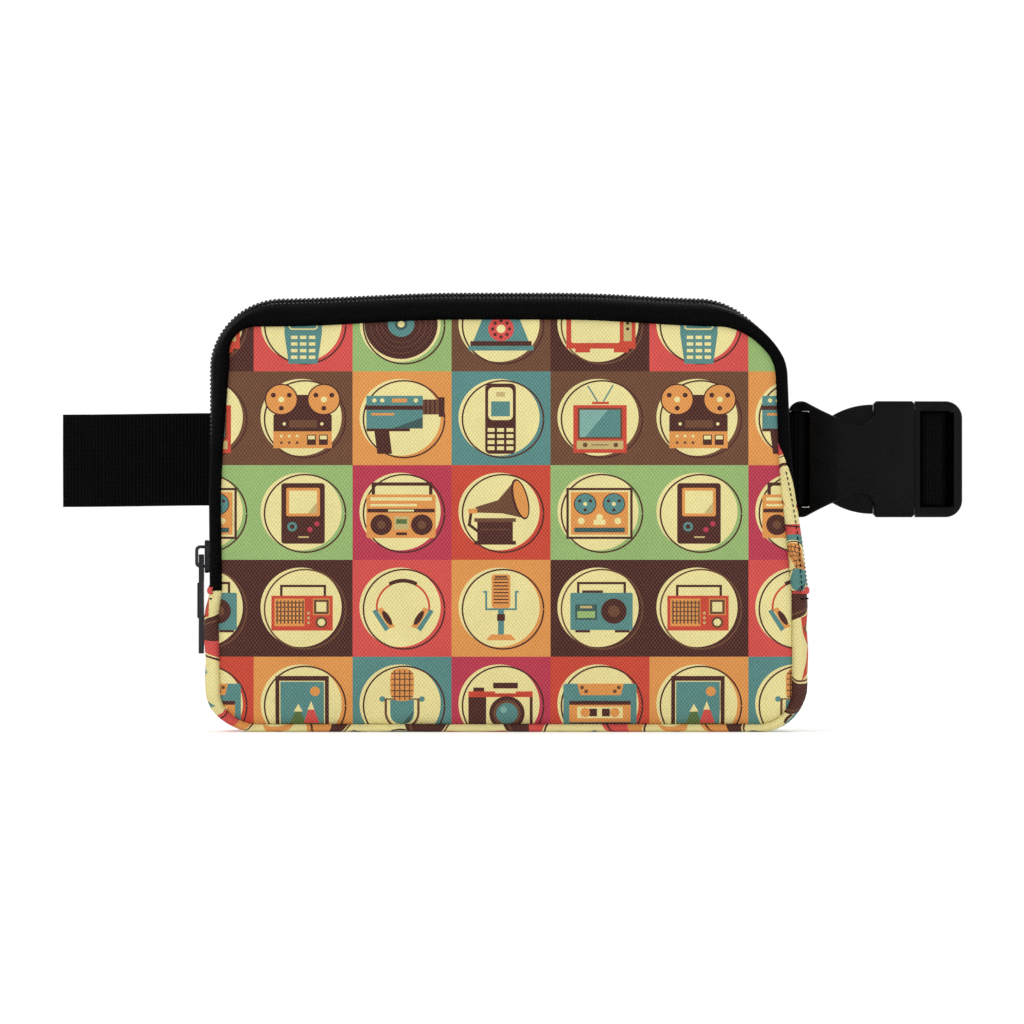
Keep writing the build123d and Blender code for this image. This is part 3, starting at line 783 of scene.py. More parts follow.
STUDIO_MICROPHONE = [
    arc("brown", 0, -0.16, 0.33, 0.05, 180, 360, 20),
    *bars("brown", (-0.355, -0.16, -0.305, 0.12), (0.305, -0.16, 0.355, 0.12)),
    *dots("teal", 0.06, (-0.4, 0.12), (0.4, 0.12)),
    *stroke("brown", 0.03, (-0.34, 0.12), (0.34, 0.12)),
    bar("brown", -0.04, -0.8, 0.04, -0.48),
    bar("teal", -0.24, -0.4, 0.24, 0.1, 0.2),
    bar("teal", -0.24, -0.12, 0.24, 0.1),
    poly("slate", (0.24, -0.12), (0.0, -0.4), (0.16, -0.36)),
    bar("orange", -0.24, 0.08, 0.24, 0.76, 0.18),
    *posts("brown", 0.1, 0.72, 0.025, -0.16, -0.06, 0.04, 0.14),
    *slats("brown", -0.22, 0.22, 0.025, 0.16, 0.28, 0.4, 0.52, 0.64),
]
FRAMED_PICTURE = [
    bar("maroon", -0.56, -0.8, 0.52, 0.6),
    bar("cream", -0.48, -0.66, 0.44, 0.5),
    bar("teal", -0.46, -0.64, 0.42, 0.48),
    oval("orange", 0.24, 0.28, 0.1, sides=18),
    poly("moss", (-0.28, -0.42), (0.06, -0.42), (-0.1, 0.02)),
    poly("cream", (-0.19, -0.14), (-0.01, -0.14), (-0.1, 0.02)),
    poly("coral", (0.0, -0.42), (0.34, -0.42), (0.16, 0.08)),
    poly("cream", (0.09, -0.1), (0.225, -0.1), (0.16, 0.08)),
    bar("green", -0.46, -0.64, 0.42, -0.42),
    bar("moss", -0.46, -0.42, 0.42, -0.38),
]
STILL_CAMERA = [
    *bars("maroon", (-0.16, 0.34, 0.34, 0.46), (-0.56, 0.28, -0.34, 0.36), (-0.66, -0.52, 0.64, 0.2)),
    bar("red", -0.66, 0.16, 0.64, 0.28),
    *bars("cream", (-0.3, -0.52, 0.58, 0.16), (-0.12, 0.24, 0.3, 0.32)),
    oval("maroon", 0.12, -0.18, 0.36),
    oval("brown", 0.12, -0.18, 0.28),
    oval("teal", 0.12, -0.18, 0.22),
    oval("sky", 0.05, -0.1, 0.07, sides=14),
]
CASSETTE = [
    bar("teal", -0.74, -0.66, 0.74, 0.44, 0.05),
    poly("orange", (-0.46, 0.44), (0.48, 0.44), (0.42, 0.2), (-0.4, 0.2)),
    *dots("brown", 0.04, (-0.36, 0.36), (-0.28, 0.28), (0.38, 0.36), (0.3, 0.28)),
    bar("orange", -0.62, -0.36, 0.62, 0.04),
    bar("maroon", -0.62, 0.0, 0.62, 0.08),
    bar("cream", -0.46, -0.28, 0.46, -0.04),
    *bars("maroon", (-0.22, -0.24, -0.06, -0.08), (0.04, -0.24, 0.2, -0.08)),
    *dots("orange", 0.1, (-0.3, -0.16), (0.3, -0.16)),
    bar("tan", -0.62, -0.66, 0.62, -0.4),
    bar("maroon", -0.62, -0.42, 0.62, -0.37),
]
RECORD = [
    oval("maroon", -0.02, 0.0, 0.74, sides=44),
    arc("brown", -0.02, 0, 0.62, 0.012),
    arc("brown", -0.02, 0, 0.5, 0.012),
    arc("brown", -0.02, 0, 0.39, 0.012),
    oval("teal", -0.02, 0, 0.27),
    oval("slate", -0.02, 0, 0.13, sides=18),
    oval("cream", -0.02, 0, 0.07, sides=14),
]

# Rows from the top of the repeat downwards: background and picture
DESIGNS = [
    [("coral", HANDSET), ("green", RECORD), ("brown", DESK_PHONE), ("maroon", TELEVISION)],
    [("brown", REEL_RECORDER), ("orange", CINE_CAMERA), ("teal", BAR_PHONE), ("brown", PORTABLE_SET)],
    [("green", HANDHELD), ("magenta", STEREO), ("red", GRAMOPHONE), ("green", TAPE_DECK)],
    [("maroon", RED_RADIO), ("coral", HEADPHONES), ("orange", STAND_MICROPHONE), ("maroon", TEAL_RADIO)],
    [("orange", FRAMED_PICTURE), ("teal", STUDIO_MICROPHONE), ("magenta", STILL_CAMERA), ("red", CASSETTE)],
]
# Spacing of the points inside a printed piece, across and along: nearly flat pieces and bent ones
CELL = np.array([2.4, 2.4])
BENT_CELL = np.array([2.4, 1.2])
STRIP_STEP = 2.4
TOUCH_MARGIN = 1.5
# Lines of points that follow a piece's edge, so that it rolls in smoothly: flat pieces, cut pieces, strips
ROLL_LINES = (0.6, 1.5, 3.0)
CUT_LINES = (0.45, 1.0, 3.0)
BEND_LINES = (0.9, 1.9, 3.2)
DISC_SHIFT = 0.04
DISC_RADIUS = 0.82


def tile_shapes(row, column):
    """Everything printed in one square of the repeat, from the back to the front, from -1 to 1 each way."""
    ground, picture = DESIGNS[row][column]
    line = "brown" if ground == "maroon" else "maroon"
    return [
        bar(ground, -1, -1, 1, 1),
        oval("cream", -DISC_SHIFT, DISC_SHIFT / 2, DISC_RADIUS, sides=56),
        arc(line, DISC_SHIFT, -DISC_SHIFT / 2, DISC_RADIUS, 0.034, sides=56),
        *picture,
    ]


def smear(shapes):
    """The same square where the print is pulled along the gusset: wavy, and still whole at its edges."""
    out = []
    for ink, points in shapes:
        moved = []
        for (x0, y0), (x1, y1) in zip(points, points[1:] + points[:1]):
            for t in (0.0, 0.25, 0.5, 0.75):
                x, y = x0 + (x1 - x0) * t, y0 + (y1 - y0) * t
                held = (1 - x * x) * (1 - y * y)
                dx = 0.13 * math.sin(4.1 * y + 1.1) + 0.07 * math.sin(9.0 * y + 3.0 * x)
                dy = 0.12 * math.sin(5.2 * x + 2.0)
                moved.append((x + held * dx, y + held * dy))
        out.append((ink, moved))
    return out


def cut_tile(shapes, clip, rings, cells):
    """Triangles of one square with the ink of each.

    clip is the cloth's outline and rings are extra lines, or None and [] well inside the cloth."""
    points, edges, faces = [], [], []

    def loop(line):
        """Add a closed line, anticlockwise."""
        line = np.asarray(line, float)
        x, y = line[:, 0], line[:, 1]
        area = (x * np.roll(y, -1) - y * np.roll(x, -1)).sum()
        start = len(points)
        points.extend(line if area > 0 else line[::-1])
        return list(range(start, len(points)))

    square = np.array(cells) / max(cells)
    for _, line in shapes:
        faces.append(loop(line))
    if clip is not None:
        faces.append(loop(clip))
    for ring in rings:
        ids = loop(ring)
        edges.extend(zip(ids, ids[1:] + ids[:1]))
    across, up = [np.linspace(-1, 1, count + 1) for count in cells]
    points.extend((x, y) for x in across for y in up)
    result = delaunay_2d_cdt([Vector(p * square) for p in points], edges, faces, 0, 1e-6)
    places, triangles, sources = result[0], result[2], result[5]
    last = len(shapes)
    kept, inks = [], []
    for triangle, source in zip(triangles, sources):
        if 0 not in source or (clip is not None and last not in source):
            continue
        top = max(s for s in source if s < last)
        kept.append(triangle)
        inks.append(linear(INKS[shapes[top][0]]))
    return np.array([list(p) for p in places]) / square, np.array(kept), np.array(inks)


WHOLE_TILES = {}


def print_cloth(
    name, columns, rows, first_column, first_row, clip, rings, place, stretched=False, turned=False, cell=CELL
):
    """A printed piece: columns and rows are its squares' edges on the flat cloth, and place shapes it.

    first_column and first_row say which design the first square has. A square that no line touches is cut
    once and used again."""
    points, triangles, inks, count = [], [], [], 0
    lines = np.concatenate([clip, *rings]) if len(rings) else clip
    low, high = clip.min(0), clip.max(0)
    for i, (x0, x1) in enumerate(zip(columns, columns[1:])):
        for j, (z0, z1) in enumerate(zip(rows, rows[1:])):
            if x0 > high[0] or x1 < low[0] or z0 > high[1] or z1 < low[1]:
                continue
            centre = np.array([(x0 + x1) / 2, (z0 + z1) / 2])
            half = np.array([(x1 - x0) / 2, (z1 - z0) / 2])
            cells = tuple(int(n) for n in np.ceil(2 * half / cell))
            design = ((first_row - j) % len(DESIGNS), (first_column + i) % len(DESIGNS[0]))
            key = (*design, cells, stretched)
            touched = np.all(np.abs(lines - centre) < half + TOUCH_MARGIN, axis=1).any()
            shapes = tile_shapes(*design)
            if stretched:
                shapes = smear(shapes)
            if touched or not inside(centre[None], clip)[0]:
                scaled = [(ring - centre) / half for ring in rings]
                made = cut_tile(shapes, (clip - centre) / half, scaled, cells)
            else:
                if key not in WHOLE_TILES:
                    WHOLE_TILES[key] = cut_tile(shapes, None, [], cells)
                made = WHOLE_TILES[key]
            spots, faces, colours = made
            if not len(faces):
                continue
            used, faces = np.unique(faces, return_inverse=True)
            points.append(spots[used] * half + centre)
            triangles.append(faces.reshape(-1, 3) + count)
            inks.append(colours)
            count += len(used)
    flat, faces, ink = np.concatenate(points), np.concatenate(triangles), np.concatenate(inks)
    if turned:
        faces = faces[:, ::-1]
    return build(name, place(flat), faces, "printed_fabric", flat=flat, ink=ink, weld=PRINT_WELD)


# ---------------------------------------------------------------- flat outlines
def inside(points, outline):
    """Whether each point is inside a closed outline."""
    x, y = points[:, 0][:, None], points[:, 1][:, None]
    x0, y0 = outline[:, 0], outline[:, 1]
    x1, y1 = np.roll(x0, -1), np.roll(y0, -1)
    crosses = (y0 > y) != (y1 > y)
    rise = np.where(np.abs(y1 - y0) < 1e-12, 1e-12, y1 - y0)
    return ((crosses & (x < x0 + (y - y0) * (x1 - x0) / rise)).sum(1) % 2) == 1


def edge_distance(points, outline):
    """How far each point is from a closed outline."""
    start, end = outline, np.roll(outline, -1, axis=0)
    along = end - start
    best = np.full(len(points), np.inf)
    for a, d in zip(start, along):
        t = np.clip(((points - a) @ d) / max(d @ d, 1e-12), 0, 1)
        best = np.minimum(best, np.linalg.norm(points - a - t[:, None] * d, axis=1))
    return best


def inset_line(outline, distance):
    """A closed outline moved inwards."""
    ahead, behind = np.roll(outline, -1, axis=0), np.roll(outline, 1, axis=0)
    along = ahead - behind
    along /= np.linalg.norm(along, axis=1)[:, None]
    normal = np.stack([-along[:, 1], along[:, 0]], axis=1)
    return outline + normal * distance


# ---------------------------------------------------------------- cloth
CLOTH_STEP = 4.0
CLOTH_FRAMES = 24
CLOTH_PRESSURE = 0.5
CLOTH_RIM = 3.0


def relaxed(name, outline, slack, limit, seed):
    """Heights in millimetres of a cloth held at its rim and filled from behind, on a grid over its outline.

    slack is its share of extra length, and limit is the most that it can rise."""
    step = CLOTH_STEP
    low, high = outline.min(0) - step, outline.max(0) + step
    nx, nz = (np.ceil((high - low) / step)).astype(int) + 1
    x, z = low[0] + step * np.arange(nx), low[1] + step * np.arange(nz)
    spots = np.stack(grid(x, z), axis=-1).reshape(-1, 2)
    within = inside(spots, outline) & (edge_distance(spots, outline) > CLOTH_RIM)
    rng = np.random.default_rng(seed)
    start = np.zeros((len(spots), 3))
    start[:, 0], start[:, 2] = spots[:, 0], spots[:, 1]
    start[:, 1] = -rng.random(len(spots)) * 0.5 * within
    cloth = build(name, start, grid_faces(nx, nz), "lining_fabric")
    held = cloth.vertex_groups.new(name="held")
    held.add([int(i) for i in np.flatnonzero(~within)], 1.0, "REPLACE")
    modifier = cloth.modifiers.new("Cloth", "CLOTH")
    settings = modifier.settings
    settings.quality = 6
    settings.mass = 0.15
    settings.tension_stiffness = settings.compression_stiffness = 12
    settings.shear_stiffness = 4
    settings.bending_stiffness = 0.6
    settings.vertex_group_mass = "held"
    settings.use_pressure = True
    settings.uniform_pressure_force = CLOTH_PRESSURE
    settings.shrink_min = -slack
    settings.effector_weights.gravity = 0
    scene = bpy.context.scene
    for span in (scene, modifier.point_cache):
        span.frame_start, span.frame_end = 1, CLOTH_FRAMES
    for number in range(1, CLOTH_FRAMES + 1):
        scene.frame_set(number)
    shaped = cloth.evaluated_get(bpy.context.evaluated_depsgraph_get()).to_mesh()
    height = np.abs([v.co.y for v in shaped.vertices]) / MM
    scene.frame_set(1)
    mesh = cloth.data
    bpy.data.objects.remove(cloth)
    bpy.data.meshes.remove(mesh)
    return low, step, (limit * np.tanh(height / limit)).reshape(nx, nz)


def sample(field, points):
    """The heights of a grid at any points, on a smooth surface through the grid's own."""
    low, step, heights = field
    at = (points - low) / step
    base = np.floor(at).astype(int)
    t = at - base

    def weights(t):
        return [
            -0.5 * t + t**2 - 0.5 * t**3,
            1 - 2.5 * t**2 + 1.5 * t**3,
            0.5 * t + 2 * t**2 - 1.5 * t**3,
            -0.5 * t**2 + 0.5 * t**3,
        ]

    wx, wz = weights(t[:, 0]), weights(t[:, 1])
    total = np.zeros(len(points))
    for a in range(4):
        for b in range(4):
            i = np.clip(base[:, 0] + a - 1, 0, heights.shape[0] - 1)
            j = np.clip(base[:, 1] + b - 1, 0, heights.shape[1] - 1)
            total += wx[a] * wz[b] * heights[i, j]
    return total


# ---------------------------------------------------------------- printed panels
# Where the print's squares fall on each panel: left edge and width, and the rows' edges from the bottom
FRONT_COLUMNS = -112.1 + 31.46 * np.arange(8)
FRONT_ROWS = np.array([-6.6, 24.0, 54.8, 84.9, 114.7, 144.8])
TOP_COLUMNS = -109.6 + 31.15 * np.arange(8)
TOP_ROWS = np.array([75.9, 103.3, 130.7])
BASE_COLUMNS = -104.9 + 29.85 * np.arange(8)
BASE_ROWS = np.array([-2.4, 26.1, 54.8, 81.4, 109.2])
ROLL_WIDTH = 3.2


def rolled(distance, width, depth):
    """How far a cloth turns in towards its edge, from its distance to the edge."""
    return depth * (1 - np.minimum(distance / width, 1)) ** 2


def front_panel(outline):
    """The printed front: crowned in the middle and rolled in at its seam."""
    field = relaxed("front_cloth", outline, slack=0.010, limit=1.5, seed=3)

    def place(flat):
        depth = edge_distance(flat, outline)
        crown = 0.7 * smooth_step(depth, 2, 26) + sample(field, flat) * smooth_step(depth, 1, 7)
        y = FRONT_Y + rolled(depth, ROLL_WIDTH, 2.5) - crown
        return np.stack([flat[:, 0], y, flat[:, 1]], axis=1)

    rings = [inset_line(outline, d) for d in ROLL_LINES]
    panel = print_cloth("front_panel", FRONT_COLUMNS, FRONT_ROWS, 3, 4, outline, rings, place)
    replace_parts(thicken(panel, PRINTED), *pair("front_panel"))
    follow_flap(panel)


CUT_GAP = 20


def part_of(outline, low, high):
    """The part of an outline between two heights, closed with a straight line."""
    dense = []
    for a, b in zip(outline, np.roll(outline, -1, axis=0)):
        dense.append(a)
        for level in (low, high):
            if (a[1] - level) * (b[1] - level) < 0:
                dense.append(a + (b - a) * (level - a[1]) / (b[1] - a[1]))
    dense = np.array(dense)
    kept = dense[(dense[:, 1] >= low - 1e-6) & (dense[:, 1] <= high + 1e-6)]
    gaps = np.linalg.norm(np.roll(kept, -1, axis=0) - kept, axis=1)
    line = []
    for i, point in enumerate(kept):
        line.append(point)
        if gaps[i] > CUT_GAP:
            following = kept[(i + 1) % len(kept)]
            count = int(gaps[i] / OUTLINE_STEP)
            line.extend(point + (following - point) * k / count for k in range(1, count))
    return np.array(line)


def zip_edge(x, side):
    """Height of the printed edge above (1) or below (-1) the pocket's zip: it bows down in the middle."""
    end = 8.0 if side > 0 else -5.9
    return POCKET_ZIP_Z + end - 2.2 * (1 - np.clip(np.abs(x) / 84, 0, 1) ** 2)


def back_panels():
    """The printed back, above and below the pocket's zip. Its two parts are cut from different places."""
    outline = (bag_outline(V_BACK - 0.3) * (-1, 1))[::-1]
    field = relaxed("back_cloth", outline, slack=0.008, limit=1.4, seed=8)
    parts = [
        ("back_panel_top", 1, TOP_COLUMNS, TOP_ROWS, 1, (0.172, 0.014)),
        ("back_panel_base", -1, BASE_COLUMNS, BASE_ROWS, 4, (0.172, 0.095)),
    ]
    for name, side, columns, rows, first_row, size in parts:
        level = float(zip_edge(84.0, side))
        clip = part_of(outline, level, 200.0) if side > 0 else part_of(outline, -50.0, level)
        cut = np.abs(clip[:, 1] - level) < 1e-6
        clip[cut, 1] = zip_edge(clip[cut, 0], side)

        def place(flat, side=side):
            depth = edge_distance(flat, outline)
            from_zip = np.maximum(side * (flat[:, 1] - zip_edge(flat[:, 0], side)), 0)
            calm = smooth_step(depth, 1, 7) * smooth_step(from_zip, 3, 20)
            crown = 0.5 * smooth_step(depth, 2, 24) * smooth_step(from_zip, 3, 24)
            crown = crown + sample(field, flat) * calm
            y = BACK_Y + 0.2 - rolled(depth, ROLL_WIDTH, 2.3) - rolled(from_zip, 0.9, 0.5) + crown
            return np.stack([-flat[:, 0], y, flat[:, 1]], axis=1)

        rings = [inset_line(clip, d) for d in CUT_LINES]
        piece = print_cloth(name, columns, rows, 3, first_row, clip, rings, place)
        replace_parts(thicken(piece, PRINTED), name)
        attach(piece, "pack_body")


def tucked(points):
    """Let the gusset's rear edge pass in front of the straps that come out of the back seam."""
    near = smooth_step(WEB_WIDTH / 2 + 3.5 - np.abs(points[..., 2] - STRAP_Z), 0, 3)
    points[..., 1] -= near * np.maximum(points[..., 1] - (STRAP_Y - WEB / 2 - 0.4), 0)
    return points


def wrap_place(u0, u1, v0, v1, puff):
    """Bend flat cloth onto the skin: the way round the bag and the depth, puffed between its edges.

    The cloth is eased towards the bag's middle at its rear edge, so its print fans out."""
    us, around = round_steps(u0, u1, 1.0)
    vs, deep = depth_steps(v0, v1, 0.3)
    length, depth = around[-1], deep[-1]

    def place(flat):
        s, q = flat[:, 0], flat[:, 1]
        fan = 8.0 * np.sin(2 * math.pi * (0.5 - s / length)) * q / depth
        u = np.interp(s + fan, around, us)
        v = np.interp(q, deep, vs)
        edge = np.minimum(q, depth - q)
        end = smooth_step(np.minimum(s, length - s), 0, 8)
        wave = 0.5 * np.sin(s * 0.16 + 0.8 * np.sin(q * 0.2)) + 0.35 * np.sin(s * 0.37 + q * 0.24 + 1.0)
        lift = puff * smooth_step(edge, 0, 9) * (0.55 + 0.45 * wave) * end
        return tucked(skin(u, v, -lift)[0])

    return place, length, depth


def strip_outline(length, depth, inset=0.0):
    """A flat strip's outline, or a line inset from it, with points close enough to bend."""
    length, depth = length - 2 * inset, depth - 2 * inset
    xs = np.linspace(0, length, max(2, int(length / STRIP_STEP)))
    zs = np.linspace(0, depth, max(2, int(depth / STRIP_STEP)))
    return inset + np.concatenate(
        [
            np.stack([xs[:-1], 0 * xs[:-1]], axis=1),
            np.stack([0 * zs[:-1] + length, zs[:-1]], axis=1),
            np.stack([xs[:0:-1], 0 * xs[:0:-1] + depth], axis=1),
            np.stack([0 * zs[:0:-1], zs[:0:-1]], axis=1),
        ]
    )


def printed_strip(name, length, depth, first_column, first_row, shift, tile, place):
    """A printed strip of the gusset, with its print stretched: shift and tile place the squares."""
    columns = shift[0] + tile[0] * np.arange(int(length / tile[0]) + 3)
    rows = shift[1] + tile[1] * np.arange(int(depth / tile[1]) + 3)
    clip, *bends = [strip_outline(length, depth, inset) for inset in (0, *BEND_LINES)]
    first = (first_column, first_row)
    piece = print_cloth(name, columns, rows, *first, clip, bends, place, True, True, BENT_CELL)
    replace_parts(thicken(piece, PRINTED), name)
    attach(piece, "pack_body")


def gussets():
    """The printed band behind the zip and the printed band round the bottom, which meet at the side seams."""
    place, length, depth = wrap_place(*ROUND_TOP, V_GUSSET, V_BACK, puff=0.7)
    printed_strip("gusset_band", length, depth, 1, 2, (-7.0, -42.0), (24.0, 112.0), place)
    us, around = round_steps(U_LEFT_SEAM, U_END, 2.0)
    us2, around2 = round_steps(0, U_RIGHT_SEAM, 2.0)
    vs, deep = depth_steps(0.0, V_BACK, 0.3)
    length, depth = around[-1] + around2[-1], deep[-1]

    def place_low(flat):
        """The bottom strip runs from the left seam round under the bag to the right seam."""
        s, q = flat[:, 0], flat[:, 1]
        u = np.interp(s, around, us) * (s <= around[-1])
        u = np.where(s > around[-1], np.interp(s - around[-1], around2, us2), u)
        v = np.interp(q, deep, vs)
        edge = np.minimum(q, depth - q)
        points, _ = skin(u, v)
        side = smooth_step(points[:, 2], 6, 24) * smooth_step(np.minimum(s, length - s), 0, 8)
        wave = 0.5 * np.sin(s * 0.19) + 0.4 * np.sin(s * 0.4 + q * 0.2)
        lift = (0.3 + 0.4 * wave) * smooth_step(edge, 0, 9) * side
        return skin(u, v, -lift)[0]

    printed_strip("bottom_gusset", length, depth, 0, 3, (-16.0, -10.0), (31.5, 58.0), place_low)


# ---------------------------------------------------------------- sewing, tapes and coils
def tube(points, across, outward, half_across, half_out, radius, phase):
    """A coiled filament along a line of points: across and outward are the coil's two directions."""
    sides = 6
    along = lengths(points)
    count = int(along[-1] / COIL_PITCH)
    s = np.linspace(0, count * COIL_PITCH, count * COIL_TURNS + 1)
    angle = 2 * math.pi * s / COIL_PITCH + phase
    centre = at_length(s, along, points)
    line = centre + at_length(s, along, across) * (half_across * np.cos(angle))[:, None]
    line = line + at_length(s, along, outward) * (half_out * np.sin(angle))[:, None]
    tangent = np.gradient(line, axis=0)
    tangent /= np.linalg.norm(tangent, axis=1)[:, None]
    first = np.cross(tangent, np.gradient(centre, axis=0))
    first /= np.linalg.norm(first, axis=1)[:, None]
    second = np.cross(tangent, first)
    ring = 2 * math.pi * np.arange(sides) / sides
    body = line[:, None] + radius * (
        first[:, None] * np.cos(ring)[None, :, None] + second[:, None] * np.sin(ring)[None, :, None]
    )
    return body.reshape(-1, 3), ring_faces(len(line), sides)


# Sections of one stitch: share of its length, height and size as shares of its radius
STITCH = [(0.0, -0.9, 0.35), (0.16, 0.0, 0.85), (0.5, 0.35, 1.0), (0.84, 0.0, 0.85), (1.0, -0.9, 0.35)]


def stitches(name, points, outward, dash=1.6, pitch=2.4, radius=0.26, lift=0.12, sides=6):
    """A row of short sewn stitches along a line."""
    along = lengths(points)
    one = ring_faces(len(STITCH), sides)
    body, faces = [], []
    for start in np.arange(0.4, along[-1] - dash, pitch):
        faces.extend([len(body) + corner for corner in face] for face in one)
        for share, height, size in STITCH:
            s = start + dash * share
            out = at_length(s, along, outward)
            ahead = at_length(s + 0.3, along, points) - at_length(s - 0.3, along, points)
            tangent = ahead / max(np.linalg.norm(ahead), 1e-9)
            out = out - tangent * (out @ tangent)
            out /= np.linalg.norm(out)
            side = np.cross(tangent, out)
            centre = at_length(s, along, points) + out * (lift + height * radius)
            for k in range(sides):
                a = 2 * math.pi * k / sides
                body.append(centre + radius * size * (side * math.cos(a) + out * math.sin(a)))
    flat = np.zeros((len(body), 2))
    flat[:, 0] = np.arange(len(body)) * 0.05
    return build(name, np.array(body), faces, "thread", flat=flat)


def follow_flap(obj):
    """Apply a piece of the front's transform to its mesh, where it stays; nothing bends it towards the flap.
    """
    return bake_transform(obj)


def pair(name):
    """The two nodes of a front piece, below and above the fold."""
    return name + "_base", name + "_flap"


def repeated(direction, count):
    return np.tile(np.array(direction, float), (count, 1))


def coil_row(name, v, phase):
    """One row of the main zip, a filament coiled along its tape, and the thread that holds it."""
    us, _ = round_steps(U_RIGHT_SEAM + 0.016, U_LEFT_SEAM - 0.016, 0.8)
    points, outward = skin(us, v, 0.55)
    body, faces = tube(points, repeated((0, 1, 0), len(us)), outward, 1.75, 0.6, 0.34, phase)
    thread = stitches(name + "_thread", points, outward, 0.85, COIL_PITCH, 0.24, 0.77, 5)
    return build(name, body, faces, "zip_coil"), thread


def front_tape_depth(v):
    """The main zip's tape lies level with the skin and dips under the coils."""
    return TAPE_DIP * smooth_step(v, 3.6, 4.1)


def back_tape_depth(v):
    return TAPE_DIP * (1 - smooth_step(v, 5.9, 6.35))


def main_zip():
    """The two tapes and two coil rows round the top and sides."""
    front = skin_sheet("main_tape_front", "zip_tape", ROUND_TOP, (0.0, 4.92), front_tape_depth, 2.2, 0.8)
    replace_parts(thicken(front, TAPE), *pair("main_tape_front"))
    behind = (5.08, V_GUSSET + 0.35)
    back = skin_sheet("main_tape_back", "zip_tape", ROUND_TOP, behind, back_tape_depth, 2.2, 0.8)
    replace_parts(thicken(back, TAPE), "main_tape_back")
    front_coil, front_thread = coil_row("main_coil_front", 4.52, 0.0)
    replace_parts(front_coil, *pair("main_coil_front"))
    back_coil, back_thread = coil_row("main_coil_back", 5.48, math.pi)
    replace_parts(back_coil, "main_coil_back")
    for piece in (back, back_coil, back_thread):
        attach(piece, "pack_body")
    for piece in (front, front_coil, front_thread):
        follow_flap(piece)


def pocket_zip():
    """The straight zip across the back: two tapes and two coil rows."""
    xs = np.linspace(-84.4, 84.4, 120)
    count = 300
    outward = repeated((0, 1, 0), count)
    for name, side, phase in (("upper", 1, 0.0), ("lower", -1, math.pi)):
        x, z = grid(xs * side, POCKET_ZIP_Z + side * np.linspace(0.1, 10.1, 11))
        dip = 0.7 * (1 - smooth_step(np.abs(z - POCKET_ZIP_Z), 3.0, 4.2)) + 0.25
        roll = rolled(84.8 - np.abs(x), ROLL_WIDTH, 1.3)
        points = np.stack([x, BACK_Y - 0.35 - dip - roll, z], axis=-1).reshape(-1, 3)
        flat = np.stack([z - POCKET_ZIP_Z, x], axis=-1).reshape(-1, 2)
        tape = build("pocket_tape_" + name, points, grid_faces(*x.shape), "zip_tape", flat=flat)
        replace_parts(thicken(tape, TAPE), "pocket_tape_" + name)
        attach(tape, "pack_body")
        line = repeated((0, 25.72, POCKET_ZIP_Z + side * 1.35), count)
        line[:, 0] = np.linspace(-POCKET_COIL_X, POCKET_COIL_X, count)
        body, faces = tube(line, repeated((0, 0, 1), count), outward, 1.5, 0.72, 0.33, phase)
        coil = build("pocket_coil_" + name, body, faces, "zip_coil")
        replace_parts(coil, "pocket_coil_" + name)
        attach(coil, "pack_body")
        line = line + [0, 0, side * 0.15]
        thread = stitches("pocket_thread_" + name, line, outward, 0.85, COIL_PITCH, 0.24, 0.9, 5)
        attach(thread, "pack_body")


def side_cover():
    """The printed wedge that covers the front tape's end on the right side."""
    top, full = 93, 58
    us, around = round_steps(U_RIGHT_SEAM, 4.0, 1.0)
    heights = skin(us, 2.0)[0][:, 2]
    kept = heights < top
    us, around, heights = us[kept], around[kept], heights[kept]
    vs, deep = depth_steps(0.0, 3.1, 0.2)
    reach = deep[-1] * (1 - np.clip((heights - full) / (top - full), 0, 1) ** 2)

    def place(flat):
        u = np.interp(flat[:, 1], around, us)
        v = np.interp(flat[:, 0], deep, vs)
        points, _ = skin(u, v, -0.35 * smooth_step(v, 1, 2.5))
        points[:, 1] -= 0.7 * (1 - smooth_step(v, 2, 3.2))
        return points

    seam = np.stack([0 * around, around], axis=1)
    free = np.stack([np.maximum(reach, 0.05), around], axis=1)
    clip = np.concatenate([seam[::-1], free])
    columns = -9.0 + 24.0 * np.arange(3)
    rows = -9.0 + 26.0 * np.arange(4)
    cover = print_cloth("side_cover", columns, rows, 1, 4, clip, [], place, stretched=True)
    thicken(cover, TAPE)
    line, outward = skin(us, np.interp(0.6 * reach, deep, vs), -0.3)
    line[:, 1] -= 0.75
    sewn = slice(0, -8)
    facing = outward[sewn] + [0, -0.8, 0]
    row = stitches("side_cover_stitches", line[sewn], facing, dash=1.15, pitch=1.75, radius=0.2)
    follow_flap(cover)
    follow_flap(row)


def hems():
    """The folded ends of the gusset at the side seams, with their stitching."""
    for name, u, order in (("right", U_RIGHT_SEAM, -1), ("left", U_LEFT_SEAM, 1)):
        vs, deep = depth_steps(1.6, V_BACK - 0.6, 1.2)
        offsets = np.linspace(-1.1, 1.1, 7)
        v, dz = grid(vs, offsets)
        lift = -(0.3 + 0.55 * np.sqrt(np.maximum(0, 1 - (offsets / 1.12) ** 2)))
        points, _ = skin(u, v, np.broadcast_to(lift, v.shape))
        points[..., 2] += dz
        faces = grid_faces(len(vs), len(offsets))[:, ::order]
        flat = np.stack([dz, np.broadcast_to(deep[:, None], v.shape)], axis=-1).reshape(-1, 2)
        middle = points.reshape(-1, 3)[faces].mean(1)
        names = ["coral", "cream", "maroon", "orange", "red"]
        inks = np.array([linear(INKS[names[int((y - FRONT_Y) // 11) % 5]]) for y in middle[:, 1]])
        hem = build(f"{name}_hem", points.reshape(-1, 3), faces, "printed_fabric", flat=flat, ink=inks)
        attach(thicken(hem, HEM), "pack_body")
        line, outward = skin(u, vs, -0.15)
        line[:, 2] -= 2.6
        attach(stitches(f"{name}_hem_stitches", line, outward), "pack_body")


